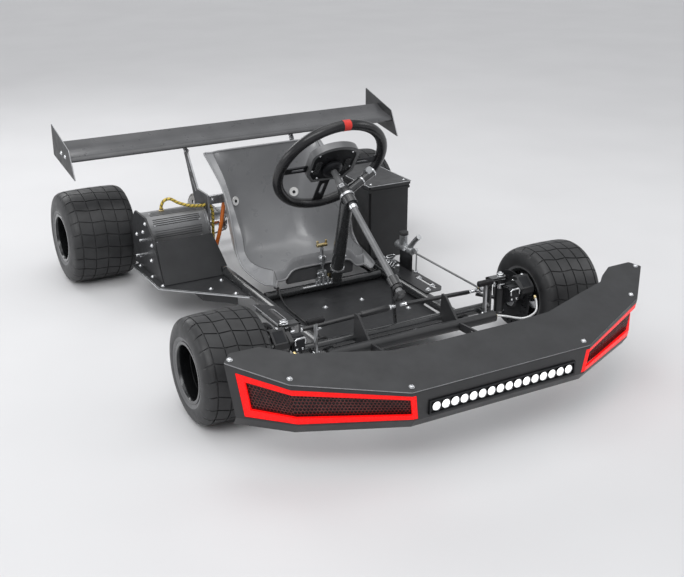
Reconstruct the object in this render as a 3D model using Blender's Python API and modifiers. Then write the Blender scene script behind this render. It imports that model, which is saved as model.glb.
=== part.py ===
"""Electric go-kart: a flat tube chassis with a faceted nose, bucket seat, rear wing and side motor.

Metres, +Z up. The nose points along -Y and the driver's left is +X. All places below are measured from
the middle of the front axle on the ground, and the whole model is shifted by FRONT_AXLE_Y at the end.
"""

from math import asin, atan, atan2, cos, pi, radians, sin, sqrt, tau

import bmesh
import bpy
from mathutils import Matrix, Vector

GAP = 0.0003
RUNNING_GAP = 0.0004
WELD = 0.00001
ROUND_SIDES = 10
TUBE_SIDES = 12
PIN_SIDES = 8
BORE_SIDES = 24
SIDES = (("right", -1), ("left", 1))

# Overall layout
FRONT_AXLE_Y = -0.385
REAR_AXLE_Y = 1.090
SHEET = 0.003
PLATE = 0.006

# Wheels
WHEEL_FACETS = 24
FRONT_TYRE_R = 0.138
FRONT_TYRE_WIDTH = 0.190
FRONT_TYRE_FACE_X = 0.600
REAR_TYRE_R = 0.150
REAR_TYRE_WIDTH = 0.220
REAR_TYRE_FACE_X = 0.596
BEAD_R = 0.0735
BEAD_INSET = 0.0068
RIM_WALL = 0.0062
RIM_LIP = 0.0052
RIM_LIP_WIDTH = 0.003
RIM_DISC = 0.005
FRONT_RIM_BORE_R = 0.020
HUB_FLANGE = 0.005
HUB_FLANGE_R = 0.045

# Chassis tubes
RAIL_X = 0.210
RAIL_R = 0.016
RAIL_Z = 0.107
RAIL_FRONT_Y = -0.022
RAIL_TAIL = 0.018
TUBE_WALL = 0.002
CROSS_TUBE_R = 0.0125
MID_TUBE_Y = 0.410
REAR_TUBE_BACK = 0.092
BEAM_R = 0.014
BEAM_Z = 0.126
BEAM_HALF = 0.297

# Rear axle, its bearings and the chain drive
AXLE_R = 0.020
AXLE_TAIL = 0.0447
BEARING_X = 0.165
BEARING_R = 0.033
BEARING_WIDTH = 0.016
CHAIN_PITCH = 0.009525
AXLE_TEETH = 49
MOTOR_TEETH = 16
CHAIN_X = -0.125
SPROCKET_WIDTH = 0.0045
CHAIN_WIDTH = 0.0075
CHAIN_DEPTH = 0.0045
REAR_HUB_X = 0.4253

# Kingpins, knuckles, discs and callipers
KINGPIN_X = 0.335
KINGPIN_R = 0.006
KINGPIN_FOOT = 0.006
KINGPIN_HEAD = 0.008
YOKE_LOW_Z = 0.100
YOKE_HIGH_Z = 0.211
YOKE_HALF = 0.012
YOKE_REACH = 0.017
BARREL_R = 0.014
SPINDLE_R = 0.0095
SPINDLE_END_X = 0.532
FRONT_HUB_X = 0.4497
HUB_R = 0.022
DISC_X = 0.374
DISC_WIDTH = 0.004
DISC_R = 0.080
DISC_FACETS = 28
DISC_HOLES = 8
DISC_HOLE_R = 0.005
DISC_HOLE_SIDES = 5
DISC_HOLE_CIRCLE = 0.062
CALLIPER_WIDTH = 0.040
CALLIPER_LENGTH = 0.060
CALLIPER_DEPTH = 0.044
CALLIPER_TILT = 40.0
ARM_END = (0.300, 0.050)
ARM_Z = 0.141
STUD_R = 0.004
ROD_END_R = 0.010
ROD_Z = 0.157
HOSE_R = 0.003

# Steering
WHEEL_CENTRE = (0.0, 0.367, 0.484)
COLUMN_RAKE = 34.0
RING_R = 0.160
GRIP_R = 0.015
RING_FACETS = 32
GRIP_FACETS = 8
HUB_HALF_WIDTH = 0.075
HUB_TOP = 0.085
HUB_SHOULDER = 0.045
HUB_BOTTOM = 0.050
HUB_THICKNESS = 0.022
SPOKE_WIDTH = 0.022
SPOKE_THICKNESS = 0.005
BUTTON_R = 0.007
BUTTON_TRAVEL = 0.002
BUTTON_POCKET = 0.007
BUTTON_PLACE = (0.045, 0.022)
SHAFT_R = 0.0095
SHAFT_LENGTH = 0.466
PITMAN_LENGTH = 0.025
SLEEVE_R = 0.018
SLEEVE_FROM = 0.094
SLEEVE_TO = 0.145
FOOT_SLEEVE_LENGTH = 0.028
PITMAN_ROOM = 0.034
PITMAN_PLATE = 0.010
POST_R = 0.019
POST_FOOT_X = 0.038
SIDE_ARM_R = 0.0125
SIDE_ARM_END = (0.100, 0.300, 0.470)

# Floor pan and side plates
PAN_FRONT_Y = -0.012
PAN_HALF = 0.196
PAN_EAR_HALF = 0.245
SIDE_PLATE_Z = 0.100
SIDE_PLATE_REACH = 0.435
TRAY_DEPTH = 0.040

# Nose: plan corners of the top plate's front edge, and its slope
NOSE_TIP = (0.606, -0.255)
NOSE_CORNER = (0.499, -0.359)
NOSE_FRONT = (0.253, -0.464)
NOSE_SLOPE = 0.323
NOSE_CORNER_Z = 0.240
NOSE_FOOT_Z = 0.132
NOSE_LIP_Z = 0.110
NOSE_LIP_BACK = 0.015
NOSE_TUCK = (0.960, 0.992)
NOSE_SCREW_INSET = 0.016
WINDOW_OUTER_X = 0.590
WINDOW_INNER_X = 0.243
WINDOW_HIGH = 0.10
WINDOW_LOW = 0.96
FRAME_BAR = 0.013
FRAME_DEPTH = 0.006
GRILLE_SHEET = 0.0012
LAMP_BAR_HALF = 0.208
LAMP_BAR_LOW = 0.140
LAMP_BAR_HIGH = 0.175
LAMP_BAR_FRONT_Y = -0.467
LAMP_BAR_DEPTH = 0.030
LAMP_POCKET = 0.006
LAMP_RIM = 0.004
LAMPS = 16
LAMP_R = 0.0105
LAMP_SIDES = 7
LENS_SHEET = 0.0015
CARRIER_Y = -0.085
CARRIER_Z = 0.138
CARRIER_R = 0.015
CARRIER_HALF = 0.255
CARRIER_ARM_X = 0.135

# Wing. Its section goes round the blade as (y, z)
WING_SECTION = [(0.961, 0.431), (0.968, 0.439), (0.985, 0.4435), (1.005, 0.4475), (1.030, 0.4545),
                (1.062, 0.4700), (1.064, 0.4665), (1.053, 0.4405), (1.035, 0.4285), (1.010, 0.4215),
                (0.985, 0.4205), (0.966, 0.4245)]
WING_HALF = 0.5735
END_PLATE = [(0.922, 0.377), (0.968, 0.463), (1.145, 0.512), (1.145, 0.410)]
STRUT_X = 0.1907
STRUT_SLOT = 0.008

# Motor and box
MOTOR_Y = 0.865
MOTOR_Z = 0.195
MOTOR_R = 0.068
MOTOR_OUTER_X = 0.4054
MOTOR_END = 0.018
MOTOR_END_R = 0.0695
MOTOR_FACETS = 24
FIN_DEPTH = 0.006
FIN_GROUPS = 8
FINS = 3
MOTOR_SHAFT_R = 0.010
MOTOR_SHAFT_DEPTH = 0.030
LEAD_R = 0.0050
LEAD_HOLE = (0.838, 0.268)
CABLE_R = 0.0065
GUARD_FOOT = (0.645, 0.1003)
GUARD_TOP = (0.700, 0.222)
BOX_Y = (0.530, 0.800)
BOX_OUTER_X = 0.372
BOX_TOP_Z = 0.347
BOX_LID = 0.014

# Seat. Each cross row, from the top of the back to the front lip, gives the middle as (y, z), the basin's
# edge and the flange as (x, y, z), and how far the pommel lifts the middle
SEAT_ROWS = [
    ((0.802, 0.447), (0.180, 0.790, 0.447), (0.200, 0.812, 0.442), 0.0),
    ((0.818, 0.370), (0.180, 0.700, 0.382), (0.200, 0.690, 0.375), 0.0),
    ((0.822, 0.290), (0.180, 0.640, 0.306), (0.200, 0.634, 0.310), 0.0),
    ((0.805, 0.200), (0.180, 0.587, 0.236), (0.200, 0.602, 0.230), 0.0),
    ((0.760, 0.125), (0.180, 0.571, 0.190), (0.200, 0.587, 0.186), 0.0),
    ((0.680, 0.090), (0.178, 0.535, 0.172), (0.200, 0.550, 0.155), 0.0),
    ((0.580, 0.090), (0.172, 0.480, 0.172), (0.195, 0.480, 0.142), 0.0),
    ((0.500, 0.108), (0.160, 0.455, 0.172), (0.185, 0.430, 0.138), 0.004),
    ((0.452, 0.140), (0.152, 0.443, 0.171), (0.176, 0.416, 0.139), 0.045),
    ((0.432, 0.168), (0.150, 0.438, 0.170), (0.170, 0.408, 0.140), 0.036),
    ((0.425, 0.140), (0.146, 0.425, 0.142), (0.160, 0.404, 0.132), 0.030),
]
SEAT_FRACTIONS = (0.0, 0.28, 0.50, 0.665, 0.80, 0.90, 0.97, 1.0)
SEAT_HUMP = (1.0, 1.0, 0.98, 0.80, 0.10, 0.0, 0.0, 0.0)
SEAT_WALL = 0.004
SEAT_BAR_Z = 0.285
SEAT_BAR_HEIGHT = 0.030
SEAT_BAR_DEPTH = 0.005
SEAT_BOLT_R = 0.004
SEAT_WASHER_R = 0.012
SEAT_BOLT_LENGTH = 0.022
SEAT_BOLT_CELL = (2, 2)
SEAT_BOLT_SHARE = (0.17, 0.50)

# Pedals and levers
PEDAL_X = 0.262
PEDAL_Y = -0.032
PEDAL_PIVOT_Z = 0.126
PEDAL_TOP_Z = 0.222
PEDAL_PIN_R = 0.003
PEDAL_THICKNESS = 0.006
PEDAL_PAD_HALF = 0.025
BRAKE_ROD_Z = 0.190
BRAKE_ROD_R = 0.003
PEDAL_LEAD_R = 0.0026
MASTER_Y = (0.332, 0.420)
MASTER_R = 0.012
RESERVOIR_R = 0.014
RESERVOIR_TOP_Z = 0.240
SPRING_X = 0.2215
SPRING_Y = (0.358, 0.438)
SPRING_Z = 0.1405
SPRING_R = 0.0085
SPRING_WIRE_R = 0.0012
SPRING_TURNS = 6
SPRING_POINTS = 8
SELECTOR_X = -0.006
SELECTOR_PIVOT_Z = 0.146
SELECTOR_TOP_Z = 0.236

# Surface finishes: colour, roughness, metallic
FINISHES = {
    "satin_black_steel": ((0.030, 0.031, 0.033), 0.48, 0.0),
    "gloss_black_steel": ((0.020, 0.021, 0.022), 0.25, 0.0),
    "black_alloy": ((0.026, 0.027, 0.029), 0.32, 0.75),
    "grey_alloy": ((0.440, 0.450, 0.460), 0.36, 1.0),
    "bright_steel": ((0.620, 0.620, 0.600), 0.22, 1.0),
    "tyre_rubber": ((0.026, 0.027, 0.028), 0.52, 0.0),
    "red_lamp": ((0.900, 0.015, 0.010), 0.35, 0.0),
    "clear_lamp": ((0.900, 0.900, 0.920), 0.10, 0.0),
    "seat_shell": ((0.340, 0.345, 0.355), 0.34, 0.0),
    "grip_foam": ((0.018, 0.018, 0.020), 0.34, 0.0),
    "yellow_braid": ((0.700, 0.530, 0.090), 0.55, 0.0),
    "orange_cable": ((0.800, 0.180, 0.030), 0.50, 0.0),
    "red_button": ((0.450, 0.010, 0.010), 0.40, 0.0),
    "box_shell": ((0.014, 0.014, 0.015), 0.50, 0.0),
}


def facet_inner(radius, sides=WHEEL_FACETS):
    """Distance from the axis to the middle of a facet."""
    return radius * cos(pi / sides)


def facet_outer(clear, sides):
    """Corner radius of a faceted bore whose flats stay this far from the axis."""
    return clear / cos(pi / sides)


FRONT_WHEEL_Z = facet_inner(FRONT_TYRE_R)
REAR_WHEEL_Z = facet_inner(REAR_TYRE_R)
FRONT_WHEEL_X = FRONT_TYRE_FACE_X - FRONT_TYRE_WIDTH / 2
REAR_WHEEL_X = REAR_TYRE_FACE_X - REAR_TYRE_WIDTH / 2
RIM_R = BEAD_R - GAP
AXLE_HALF = REAR_HUB_X + AXLE_TAIL
REAR_TUBE_Y = REAR_AXLE_Y + REAR_TUBE_BACK
RAIL_REAR_Y = REAR_TUBE_Y + RAIL_TAIL
PAN_TOP_Z = RAIL_Z - RAIL_R - GAP
RAIL_TOP_Z = RAIL_Z + RAIL_R
STRUT_OUTER = RAIL_X - RAIL_R - GAP
STRUT_INNER = STRUT_OUTER - PLATE
FOOT_SLEEVE_TO = SHAFT_LENGTH - PITMAN_ROOM
FOOT_SLEEVE_FROM = FOOT_SLEEVE_TO - FOOT_SLEEVE_LENGTH
RAKE = radians(COLUMN_RAKE)
COLUMN_UP = Vector((0.0, cos(RAKE), sin(RAKE)))
WHEEL_UP = Vector((0.0, -sin(RAKE), cos(RAKE)))
AXLE_SPROCKET_R = CHAIN_PITCH / 2 / sin(pi / AXLE_TEETH)
MOTOR_SPROCKET_R = CHAIN_PITCH / 2 / sin(pi / MOTOR_TEETH)
SPROCKET_TIP = 0.001
TOOTH_DEPTH = 0.004
NOSE_PLAN = [(-NOSE_TIP[0], NOSE_TIP[1]), (-NOSE_CORNER[0], NOSE_CORNER[1]), (-NOSE_FRONT[0], NOSE_FRONT[1]),
             NOSE_FRONT, NOSE_CORNER, NOSE_TIP]
NOSE_ANGLE = atan(NOSE_SLOPE)


# Scene helpers

def clear_scene():
    for obj in list(bpy.data.objects):
        bpy.data.objects.remove(obj, do_unlink=True)


def finish(name):
    colour, roughness, metallic = FINISHES[name]
    made = bpy.data.materials.get(name)
    if made is None:
        made = bpy.data.materials.new(name)
        made.use_nodes = True
        shader = made.node_tree.nodes["Principled BSDF"]
        shader.inputs["Base Color"].default_value = (*colour, 1.0)
        shader.inputs["Roughness"].default_value = roughness
        shader.inputs["Metallic"].default_value = metallic
    return made


def link(data, name="shape"):
    obj = bpy.data.objects.new(name, data)
    bpy.context.scene.collection.objects.link(obj)
    return obj


def baked(obj):
    """The object's evaluated mesh, welded, with its faces pointing out; the object itself is removed."""
    bpy.context.view_layer.update()
    depsgraph = bpy.context.evaluated_depsgraph_get()
    mesh = bpy.data.meshes.new_from_object(obj.evaluated_get(depsgraph))
    work = bmesh.new()
    work.from_mesh(mesh)
    work.transform(obj.matrix_world)
    bmesh.ops.remove_doubles(work, verts=work.verts, dist=WELD)
    bmesh.ops.recalc_face_normals(work, faces=work.faces)
    work.to_mesh(mesh)
    work.free()
    mesh.materials.clear()
    bpy.data.objects.remove(obj, do_unlink=True)
    return link(mesh)


def boolean(target, tools, operation):
    for tool in tools:
        modifier = target.modifiers.new(operation, "BOOLEAN")
        modifier.operation = operation
        modifier.solver = "EXACT"
        modifier.object = tool
    result = baked(target)
    for tool in tools:
        bpy.data.objects.remove(tool, do_unlink=True)
    return result


def cut(target, *tools):
    return boolean(target, tools, "DIFFERENCE")


def fuse(target, *tools):
    return boolean(target, tools, "UNION")


def frame_at(origin, z_axis, x_hint):
    """A placement whose local Z runs along z_axis and whose local X is as near x_hint as it can be."""
    z = Vector(z_axis).normalized()
    y = z.cross(Vector(x_hint)).normalized()
    x = y.cross(z)
    matrix = Matrix((x, y, z)).transposed().to_4x4()
    matrix.translation = Vector(origin)
    return matrix


def box(low, high):
    work = bmesh.new()
    size = Vector(high) - Vector(low)
    middle = (Vector(high) + Vector(low)) / 2
    bmesh.ops.create_cube(work, size=1.0, matrix=Matrix.Translation(middle) @ Matrix.Diagonal((*size, 1.0)))
    mesh = bpy.data.meshes.new("box")
    work.to_mesh(mesh)
    work.free()
    return link(mesh)


def rod(start, end, radius, sides=ROUND_SIDES):
    """A solid round bar between two points."""
    start, end = Vector(start), Vector(end)
    along = end - start
    turn = along.to_track_quat("Z", "Y").to_matrix().to_4x4()
    work = bmesh.new()
    bmesh.ops.create_cone(work, cap_ends=True, segments=sides, radius1=radius, radius2=radius,
                          depth=along.length, matrix=Matrix.Translation((start + end) / 2) @ turn)
    mesh = bpy.data.meshes.new("rod")
    work.to_mesh(mesh)
    work.free()
    return link(mesh)


def flat(outlines, low, high, matrix=None):
    """A flat piece: closed outlines (the first is the edge, the rest are holes) filled and extruded."""
    curve = bpy.data.curves.new("flat", "CURVE")
    curve.dimensions = "2D"
    curve.fill_mode = "BOTH"
    curve.extrude = (high - low) / 2
    for outline in outlines:
        spline = curve.splines.new("POLY")
        spline.points.add(len(outline) - 1)
        for point, (u, v) in zip(spline.points, outline):
            point.co = (u, v, 0.0, 1.0)
        spline.use_cyclic_u = True
    obj = link(curve)
    obj.matrix_world = (matrix or Matrix()) @ Matrix.Translation((0.0, 0.0, (high + low) / 2))
    return baked(obj)


def across(outlines, low, high):
    """A flat piece square to X, from outlines in Y and Z."""
    return flat(outlines, low, high, Matrix(((0, 0, 1, 0), (1, 0, 0, 0), (0, 1, 0, 0), (0, 0, 0, 1))))


def sided(low, high, side):
    """An X range mirrored to one side of the kart, in rising order."""
    return (low, high) if side > 0 else (-high, -low)


def ring_of_points(centre, radius, count, phase=0.0):
    turns = [tau * i / count + phase for i in range(count)]
    return [(centre[0] + radius * cos(turn), centre[1] + radius * sin(turn)) for turn in turns]


def slot(centre, length, width, angle=0.0):
    """Outline of a straight slot with pointed ends, turned by an angle."""
    half, side = length / 2, width / 2
    shape = [(-half, 0), (-half + side, -side), (half - side, -side), (half, 0), (half - side, side),
             (-half + side, side)]
    c, s = cos(angle), sin(angle)
    return [(centre[0] + u * c - v * s, centre[1] + u * s + v * c) for u, v in shape]


def tube(points, radius, resolution=2, cyclic=False):
    curve = bpy.data.curves.new("tube", "CURVE")
    curve.dimensions = "3D"
    curve.bevel_depth = radius
    curve.bevel_resolution = resolution
    curve.use_fill_caps = not cyclic
    spline = curve.splines.new("POLY")
    spline.points.add(len(points) - 1)
    for point, co in zip(spline.points, points):
        point.co = (*co, 1.0)
    spline.use_cyclic_u = cyclic
    return baked(link(curve))


def smooth_route(points, step):
    """Points along a curve that passes smoothly through the given ones."""
    places = [Vector(p) for p in points]
    places = [2 * places[0] - places[1]] + places + [2 * places[-1] - places[-2]]
    route = [places[1]]
    for a, b, c, d in zip(places, places[1:], places[2:], places[3:]):
        count = max(1, round((c - b).length / step))
        for i in range(1, count + 1):
            t = i / count
            route.append(0.5 * (2 * b + (c - a) * t + (2 * a - 5 * b + 4 * c - d) * t ** 2
                                + (3 * b - a - 3 * c + d) * t ** 3))
    return route


def turned(profile, steps, matrix):
    """A turned ring or disc: a closed profile of (radius, distance along the axis)."""
    work = bmesh.new()
    corners = [work.verts.new((r, 0.0, d)) for r, d in profile]
    for first, second in zip(corners, corners[1:] + corners[:1]):
        work.edges.new((first, second))
    mesh = bpy.data.meshes.new("turned")
    work.to_mesh(mesh)
    work.free()
    obj = link(mesh)
    screw = obj.modifiers.new("screw", "SCREW")
    screw.steps = steps
    screw.render_steps = steps
    screw.use_merge_vertices = True
    screw.merge_threshold = WELD
    obj.matrix_world = matrix
    return baked(obj)


def collar(inner, outer, low, high, matrix, steps=ROUND_SIDES):
    return turned([(outer, high), (outer, low), (inner, low), (inner, high)], steps, matrix)


def hollow_tube(start, end, radius, sides=TUBE_SIDES):
    along = Vector(end) - Vector(start)
    matrix = Matrix.Translation(start) @ along.to_track_quat("Z", "Y").to_matrix().to_4x4()
    return collar(radius - TUBE_WALL, radius, 0.0, along.length, matrix, sides)


def wheel_frame(x, y, z, side):
    """Local Z runs outward along the axle; half a step of turn puts a flat facet on the ground."""
    return frame_at((x * side, y, z), (side, 0, 0), (0, 0, 1)) @ Matrix.Rotation(pi / WHEEL_FACETS, 4, "Z")


def piece(name, body, surface, origin):
    """One named sub-part made from a shape, with its origin at the given place."""
    work = bmesh.new()
    work.from_mesh(body.data)
    bpy.data.objects.remove(body, do_unlink=True)
    work.transform(Matrix.Translation(-Vector(origin)))
    mesh = bpy.data.meshes.new(name)
    work.to_mesh(mesh)
    work.free()
    mesh.materials.append(finish(surface))
    mesh.shade_smooth()
    mesh.set_sharp_from_angle(angle=radians(35))
    obj = bpy.data.objects.new(name, mesh)
    obj.location = Vector(origin) + Vector((0.0, FRONT_AXLE_Y, 0.0))
    KART.objects.link(obj)
    return obj


# Chassis

def beam_cutter():
    return rod((-BEAM_HALF, 0, BEAM_Z), (BEAM_HALF, 0, BEAM_Z), BEAM_R + GAP, TUBE_SIDES)


def make_rails():
    for name, side in SIDES:
        x = RAIL_X * side
        rail = hollow_tube((x, RAIL_FRONT_Y, RAIL_Z), (x, RAIL_REAR_Y, RAIL_Z), RAIL_R)
        piece(f"rail_{name}", cut(rail, beam_cutter()), "gloss_black_steel", (x, 0, RAIL_Z))


def make_rear_carrier():
    """Rear cross tube with the two plates that hold the axle bearings."""
    half = RAIL_X - RAIL_R - GAP
    bodies = [rod((-half, REAR_TUBE_Y, RAIL_Z), (half, REAR_TUBE_Y, RAIL_Z), CROSS_TUBE_R)]
    for side in (-1, 1):
        plate = [(REAR_AXLE_Y - 0.020, RAIL_Z - 0.010), (REAR_TUBE_Y, RAIL_Z - 0.009),
                 (REAR_TUBE_Y, RAIL_Z + 0.009), (REAR_AXLE_Y + 0.024, REAR_WHEEL_Z + 0.024),
                 (REAR_AXLE_Y - 0.024, REAR_WHEEL_Z + 0.024)]
        low, high = sided(BEARING_X - PLATE / 2, BEARING_X + PLATE / 2, side)
        bodies.append(across([plate], low, high))
        middle = Vector((BEARING_X * side, REAR_AXLE_Y, REAR_WHEEL_Z))
        reach = Vector((BEARING_WIDTH / 2, 0, 0))
        bodies.append(rod(middle - reach, middle + reach, BEARING_R, TUBE_SIDES))
    bore = facet_outer(AXLE_R + RUNNING_GAP, BORE_SIDES)
    axle_middle = Vector((0, REAR_AXLE_Y, REAR_WHEEL_Z))
    bore_reach = Vector((RAIL_X, 0, 0))
    bore_cutter = rod(axle_middle - bore_reach, axle_middle + bore_reach, bore, BORE_SIDES)
    piece("rear_carrier", cut(fuse(*bodies), bore_cutter), "satin_black_steel", (0, REAR_TUBE_Y, RAIL_Z))


def column_frame():
    """Local Z runs from the wheel down the column; local Y points to the rim's lowest point."""
    return frame_at(WHEEL_CENTRE, -COLUMN_UP, (-1, 0, 0))


def make_front_axle_beam():
    """Front beam, its two kingpin yokes, the pedal lugs and the column's lower bearing."""
    bodies = [rod((-BEAM_HALF, 0, BEAM_Z), (BEAM_HALF, 0, BEAM_Z), BEAM_R, TUBE_SIDES)]
    web = (BEAM_HALF - PLATE / 2, BEAM_HALF + PLATE / 2)
    reach = KINGPIN_X + YOKE_REACH
    for side in (-1, 1):
        low, high = sided(*web, side)
        bodies.append(box((low, -YOKE_HALF, YOKE_LOW_Z), (high, YOKE_HALF, YOKE_HIGH_Z)))
        low, high = sided(web[0], reach, side)
        bodies.append(box((low, -YOKE_HALF, YOKE_LOW_Z), (high, YOKE_HALF, YOKE_LOW_Z + PLATE)))
        bodies.append(box((low, -YOKE_HALF, YOKE_HIGH_Z - PLATE), (high, YOKE_HALF, YOKE_HIGH_Z)))
        pin_foot = (KINGPIN_X * side, 0, YOKE_LOW_Z - KINGPIN_FOOT)
        pin_head = (KINGPIN_X * side, 0, YOKE_HIGH_Z + KINGPIN_HEAD)
        bodies.append(rod(pin_foot, pin_head, KINGPIN_R, PIN_SIDES))
        for cheek in (-1, 1):
            inner = PEDAL_THICKNESS / 2 + GAP
            x = PEDAL_X * side + cheek * (inner + SHEET / 2)
            lug = [(0.004, BEAM_Z - 0.009), (0.004, BEAM_Z + 0.009), (PEDAL_Y, PEDAL_PIVOT_Z + 0.007),
                   (PEDAL_Y - 0.007, PEDAL_PIVOT_Z), (PEDAL_Y, PEDAL_PIVOT_Z - 0.007)]
            bodies.append(across([lug], x - SHEET / 2, x + SHEET / 2))
        pivot = Vector((PEDAL_X * side, PEDAL_Y, PEDAL_PIVOT_Z))
        pin_half = Vector((PEDAL_THICKNESS / 2 + SHEET + GAP, 0, 0))
        bodies.append(rod(pivot - pin_half, pivot + pin_half, PEDAL_PIN_R, PIN_SIDES))
    foot = Vector(WHEEL_CENTRE) - COLUMN_UP * (FOOT_SLEEVE_FROM + FOOT_SLEEVE_TO) / 2
    stay = [(0.004, BEAM_Z), (0.013, BEAM_Z), (foot.y + 0.013, foot.z - 0.006),
            (foot.y + 0.003, foot.z - 0.010)]
    bodies.append(across([stay], -PLATE / 2, PLATE / 2))
    start = Vector(WHEEL_CENTRE) - COLUMN_UP * FOOT_SLEEVE_FROM
    end = Vector(WHEEL_CENTRE) - COLUMN_UP * FOOT_SLEEVE_TO
    bodies.append(rod(start, end, SLEEVE_R - 0.002, TUBE_SIDES))
    beam = fuse(*bodies)
    shaft_end = Vector(WHEEL_CENTRE) - COLUMN_UP * SHAFT_LENGTH
    bore = rod(shaft_end, WHEEL_CENTRE, SHAFT_R + RUNNING_GAP, TUBE_SIDES)
    piece("front_axle_beam", cut(beam, bore), "gloss_black_steel", (0, 0, BEAM_Z))


def make_floor_pan():
    """Slotted sheet under the driver's legs, with an ear that widens it on each side."""
    right_half = [(PAN_HALF, PAN_FRONT_Y), (PAN_HALF, 0.170), (PAN_EAR_HALF, 0.215), (PAN_EAR_HALF, 0.370),
                  (PAN_HALF, 0.428)]
    outline = right_half + [(-x, y) for x, y in reversed(right_half)]
    slots = [slot((x, y), 0.050, 0.007) for x in (-0.130, -0.065, 0.0, 0.065, 0.130) for y in (0.340, 0.366)]
    slots += [slot((side * (PAN_EAR_HALF - 0.009), 0.290), 0.120, 0.007, pi / 2) for side in (-1, 1)]
    pan = flat([outline] + slots, PAN_TOP_Z - SHEET, PAN_TOP_Z)
    piece("floor_pan", pan, "satin_black_steel", (0, 0, PAN_TOP_Z))


def make_side_plates():
    """Outrigger sheets beside the seat, each with a folded tray under its front part."""
    drop = RAIL_Z - SIDE_PLATE_Z
    rail_side = RAIL_X + sqrt(RAIL_R ** 2 - drop ** 2) + GAP
    front, corner, rear = 0.442, 0.635, 0.870
    for name, side in SIDES:
        plate = [(rail_side, front), (SIDE_PLATE_REACH, corner), (SIDE_PLATE_REACH, rear), (rail_side, 0.930)]
        tray = [(rail_side + 0.012, 0.508), (0.258, 0.529), (0.317, 0.584), (0.319, 0.700),
                (rail_side + 0.012, 0.700)]
        hollow = [(rail_side + 0.012 - SHEET, 0.515), (0.255, 0.533), (0.314, 0.586), (0.316, 0.703),
                  (rail_side + 0.012 - SHEET, 0.703)]
        low = SIDE_PLATE_Z - SHEET - TRAY_DEPTH
        sheet = flat([[(x * side, y) for x, y in plate]], SIDE_PLATE_Z - SHEET, SIDE_PLATE_Z)
        pan = flat([[(x * side, y) for x, y in tray]], low, SIDE_PLATE_Z - SHEET / 2)
        pocket = flat([[(x * side, y) for x, y in hollow]], low + SHEET, SIDE_PLATE_Z - SHEET - GAP)
        piece(f"side_plate_{name}", fuse(sheet, cut(pan, pocket)), "satin_black_steel", (0, 0, SIDE_PLATE_Z))


# Nose


def nose_plan_y(x):
    """The top plate's front edge at a given X."""
    for (x0, y0), (x1, y1) in zip(NOSE_PLAN, NOSE_PLAN[1:]):
        if x0 <= x <= x1:
            return y0 + (y1 - y0) * (x - x0) / (x1 - x0)
    return NOSE_TIP[1]


def nose_top_z(y):
    return NOSE_CORNER_Z + NOSE_SLOPE * (y - NOSE_CORNER[1])


def nose_wall(x, drop, inset=0.0):
    """A point of the nose's front wall: x along its top edge, drop from 0 at the top to 1 at the foot."""
    y = nose_plan_y(x)
    top = Vector((x, y, nose_top_z(y) - SHEET / cos(NOSE_ANGLE) - GAP))
    tuck = 1.0 if abs(x) < LAMP_BAR_HALF + 2 * GAP else NOSE_TUCK[0]
    foot = Vector((x * tuck, y * NOSE_TUCK[1], NOSE_FOOT_Z))
    return top.lerp(foot, drop) + Vector((0.0, inset, 0.0))


def sheet_from_grid(rows, holes, thickness):
    """A folded sheet from rows of points; the cells named in holes stay open."""
    work = bmesh.new()
    grid = [[work.verts.new(point) for point in row] for row in rows]
    for i in range(len(grid) - 1):
        for j in range(len(grid[i]) - 1):
            if (i, j) not in holes:
                work.faces.new((grid[i][j], grid[i + 1][j], grid[i + 1][j + 1], grid[i][j + 1]))
    loose = [v for v in work.verts if not v.link_faces]
    bmesh.ops.delete(work, geom=loose, context="VERTS")
    mesh = bpy.data.meshes.new("sheet")
    work.to_mesh(mesh)
    work.free()
    obj = link(mesh)
    solid = obj.modifiers.new("thickness", "SOLIDIFY")
    solid.thickness = thickness
    solid.offset = -1.0
    solid.use_even_offset = True
    return baked(obj)


def make_nose_shell():
    """Faceted front wall with two lamp windows, a lamp-bar window and a turned-in lower lip."""
    bar = LAMP_BAR_HALF + GAP
    columns = [-NOSE_TIP[0], -WINDOW_OUTER_X, -NOSE_CORNER[0], -NOSE_FRONT[0], -WINDOW_INNER_X, -bar]
    columns += [-x for x in reversed(columns)]
    height = nose_wall(0, 0).z - NOSE_FOOT_Z
    lamp_high = (nose_wall(0, 0).z - LAMP_BAR_HIGH - GAP) / height
    lamp_low = (nose_wall(0, 0).z - LAMP_BAR_LOW + GAP) / height
    drops = [0.0, WINDOW_HIGH, lamp_high, lamp_low, WINDOW_LOW, 1.0]
    rows = []
    for drop in drops:
        rows.append([nose_wall(x, drop) for x in columns])
    rows.append([Vector((p.x, p.y + NOSE_LIP_BACK, NOSE_LIP_Z)) for p in rows[-1]])
    windows = {(i, j) for i in (1, 2, 3) for j in (1, 2, 3, 7, 8, 9)}
    windows |= {(2, 5)}
    shell = sheet_from_grid(rows, windows, SHEET)
    piece("nose_shell", shell, "satin_black_steel", (0, NOSE_FRONT[1], NOSE_FOOT_Z))


def make_lamp_frames():
    """Red lit frames set in the two side windows of the nose."""
    clearance = 2 * GAP
    for name, side in SIDES:
        outer, inner = WINDOW_OUTER_X - clearance, WINDOW_INNER_X + clearance
        places = (outer, outer - FRAME_BAR, NOSE_CORNER[0], inner + FRAME_BAR, inner)
        columns = sorted(side * x for x in places)
        height = nose_top_z(NOSE_CORNER[1]) - NOSE_FOOT_Z
        high, low = WINDOW_HIGH + clearance / height * 2, WINDOW_LOW - clearance / height * 2
        drops = [high, high + FRAME_BAR / height, low - FRAME_BAR / height * 1.25, low]
        rows = [[nose_wall(x, drop) for x in columns] for drop in drops]
        frame = sheet_from_grid(rows, {(1, 1), (1, 2)}, FRAME_DEPTH)
        piece(f"lamp_frame_{name}", frame, "red_lamp", (NOSE_CORNER[0] * side, NOSE_CORNER[1], NOSE_FOOT_Z))


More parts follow.
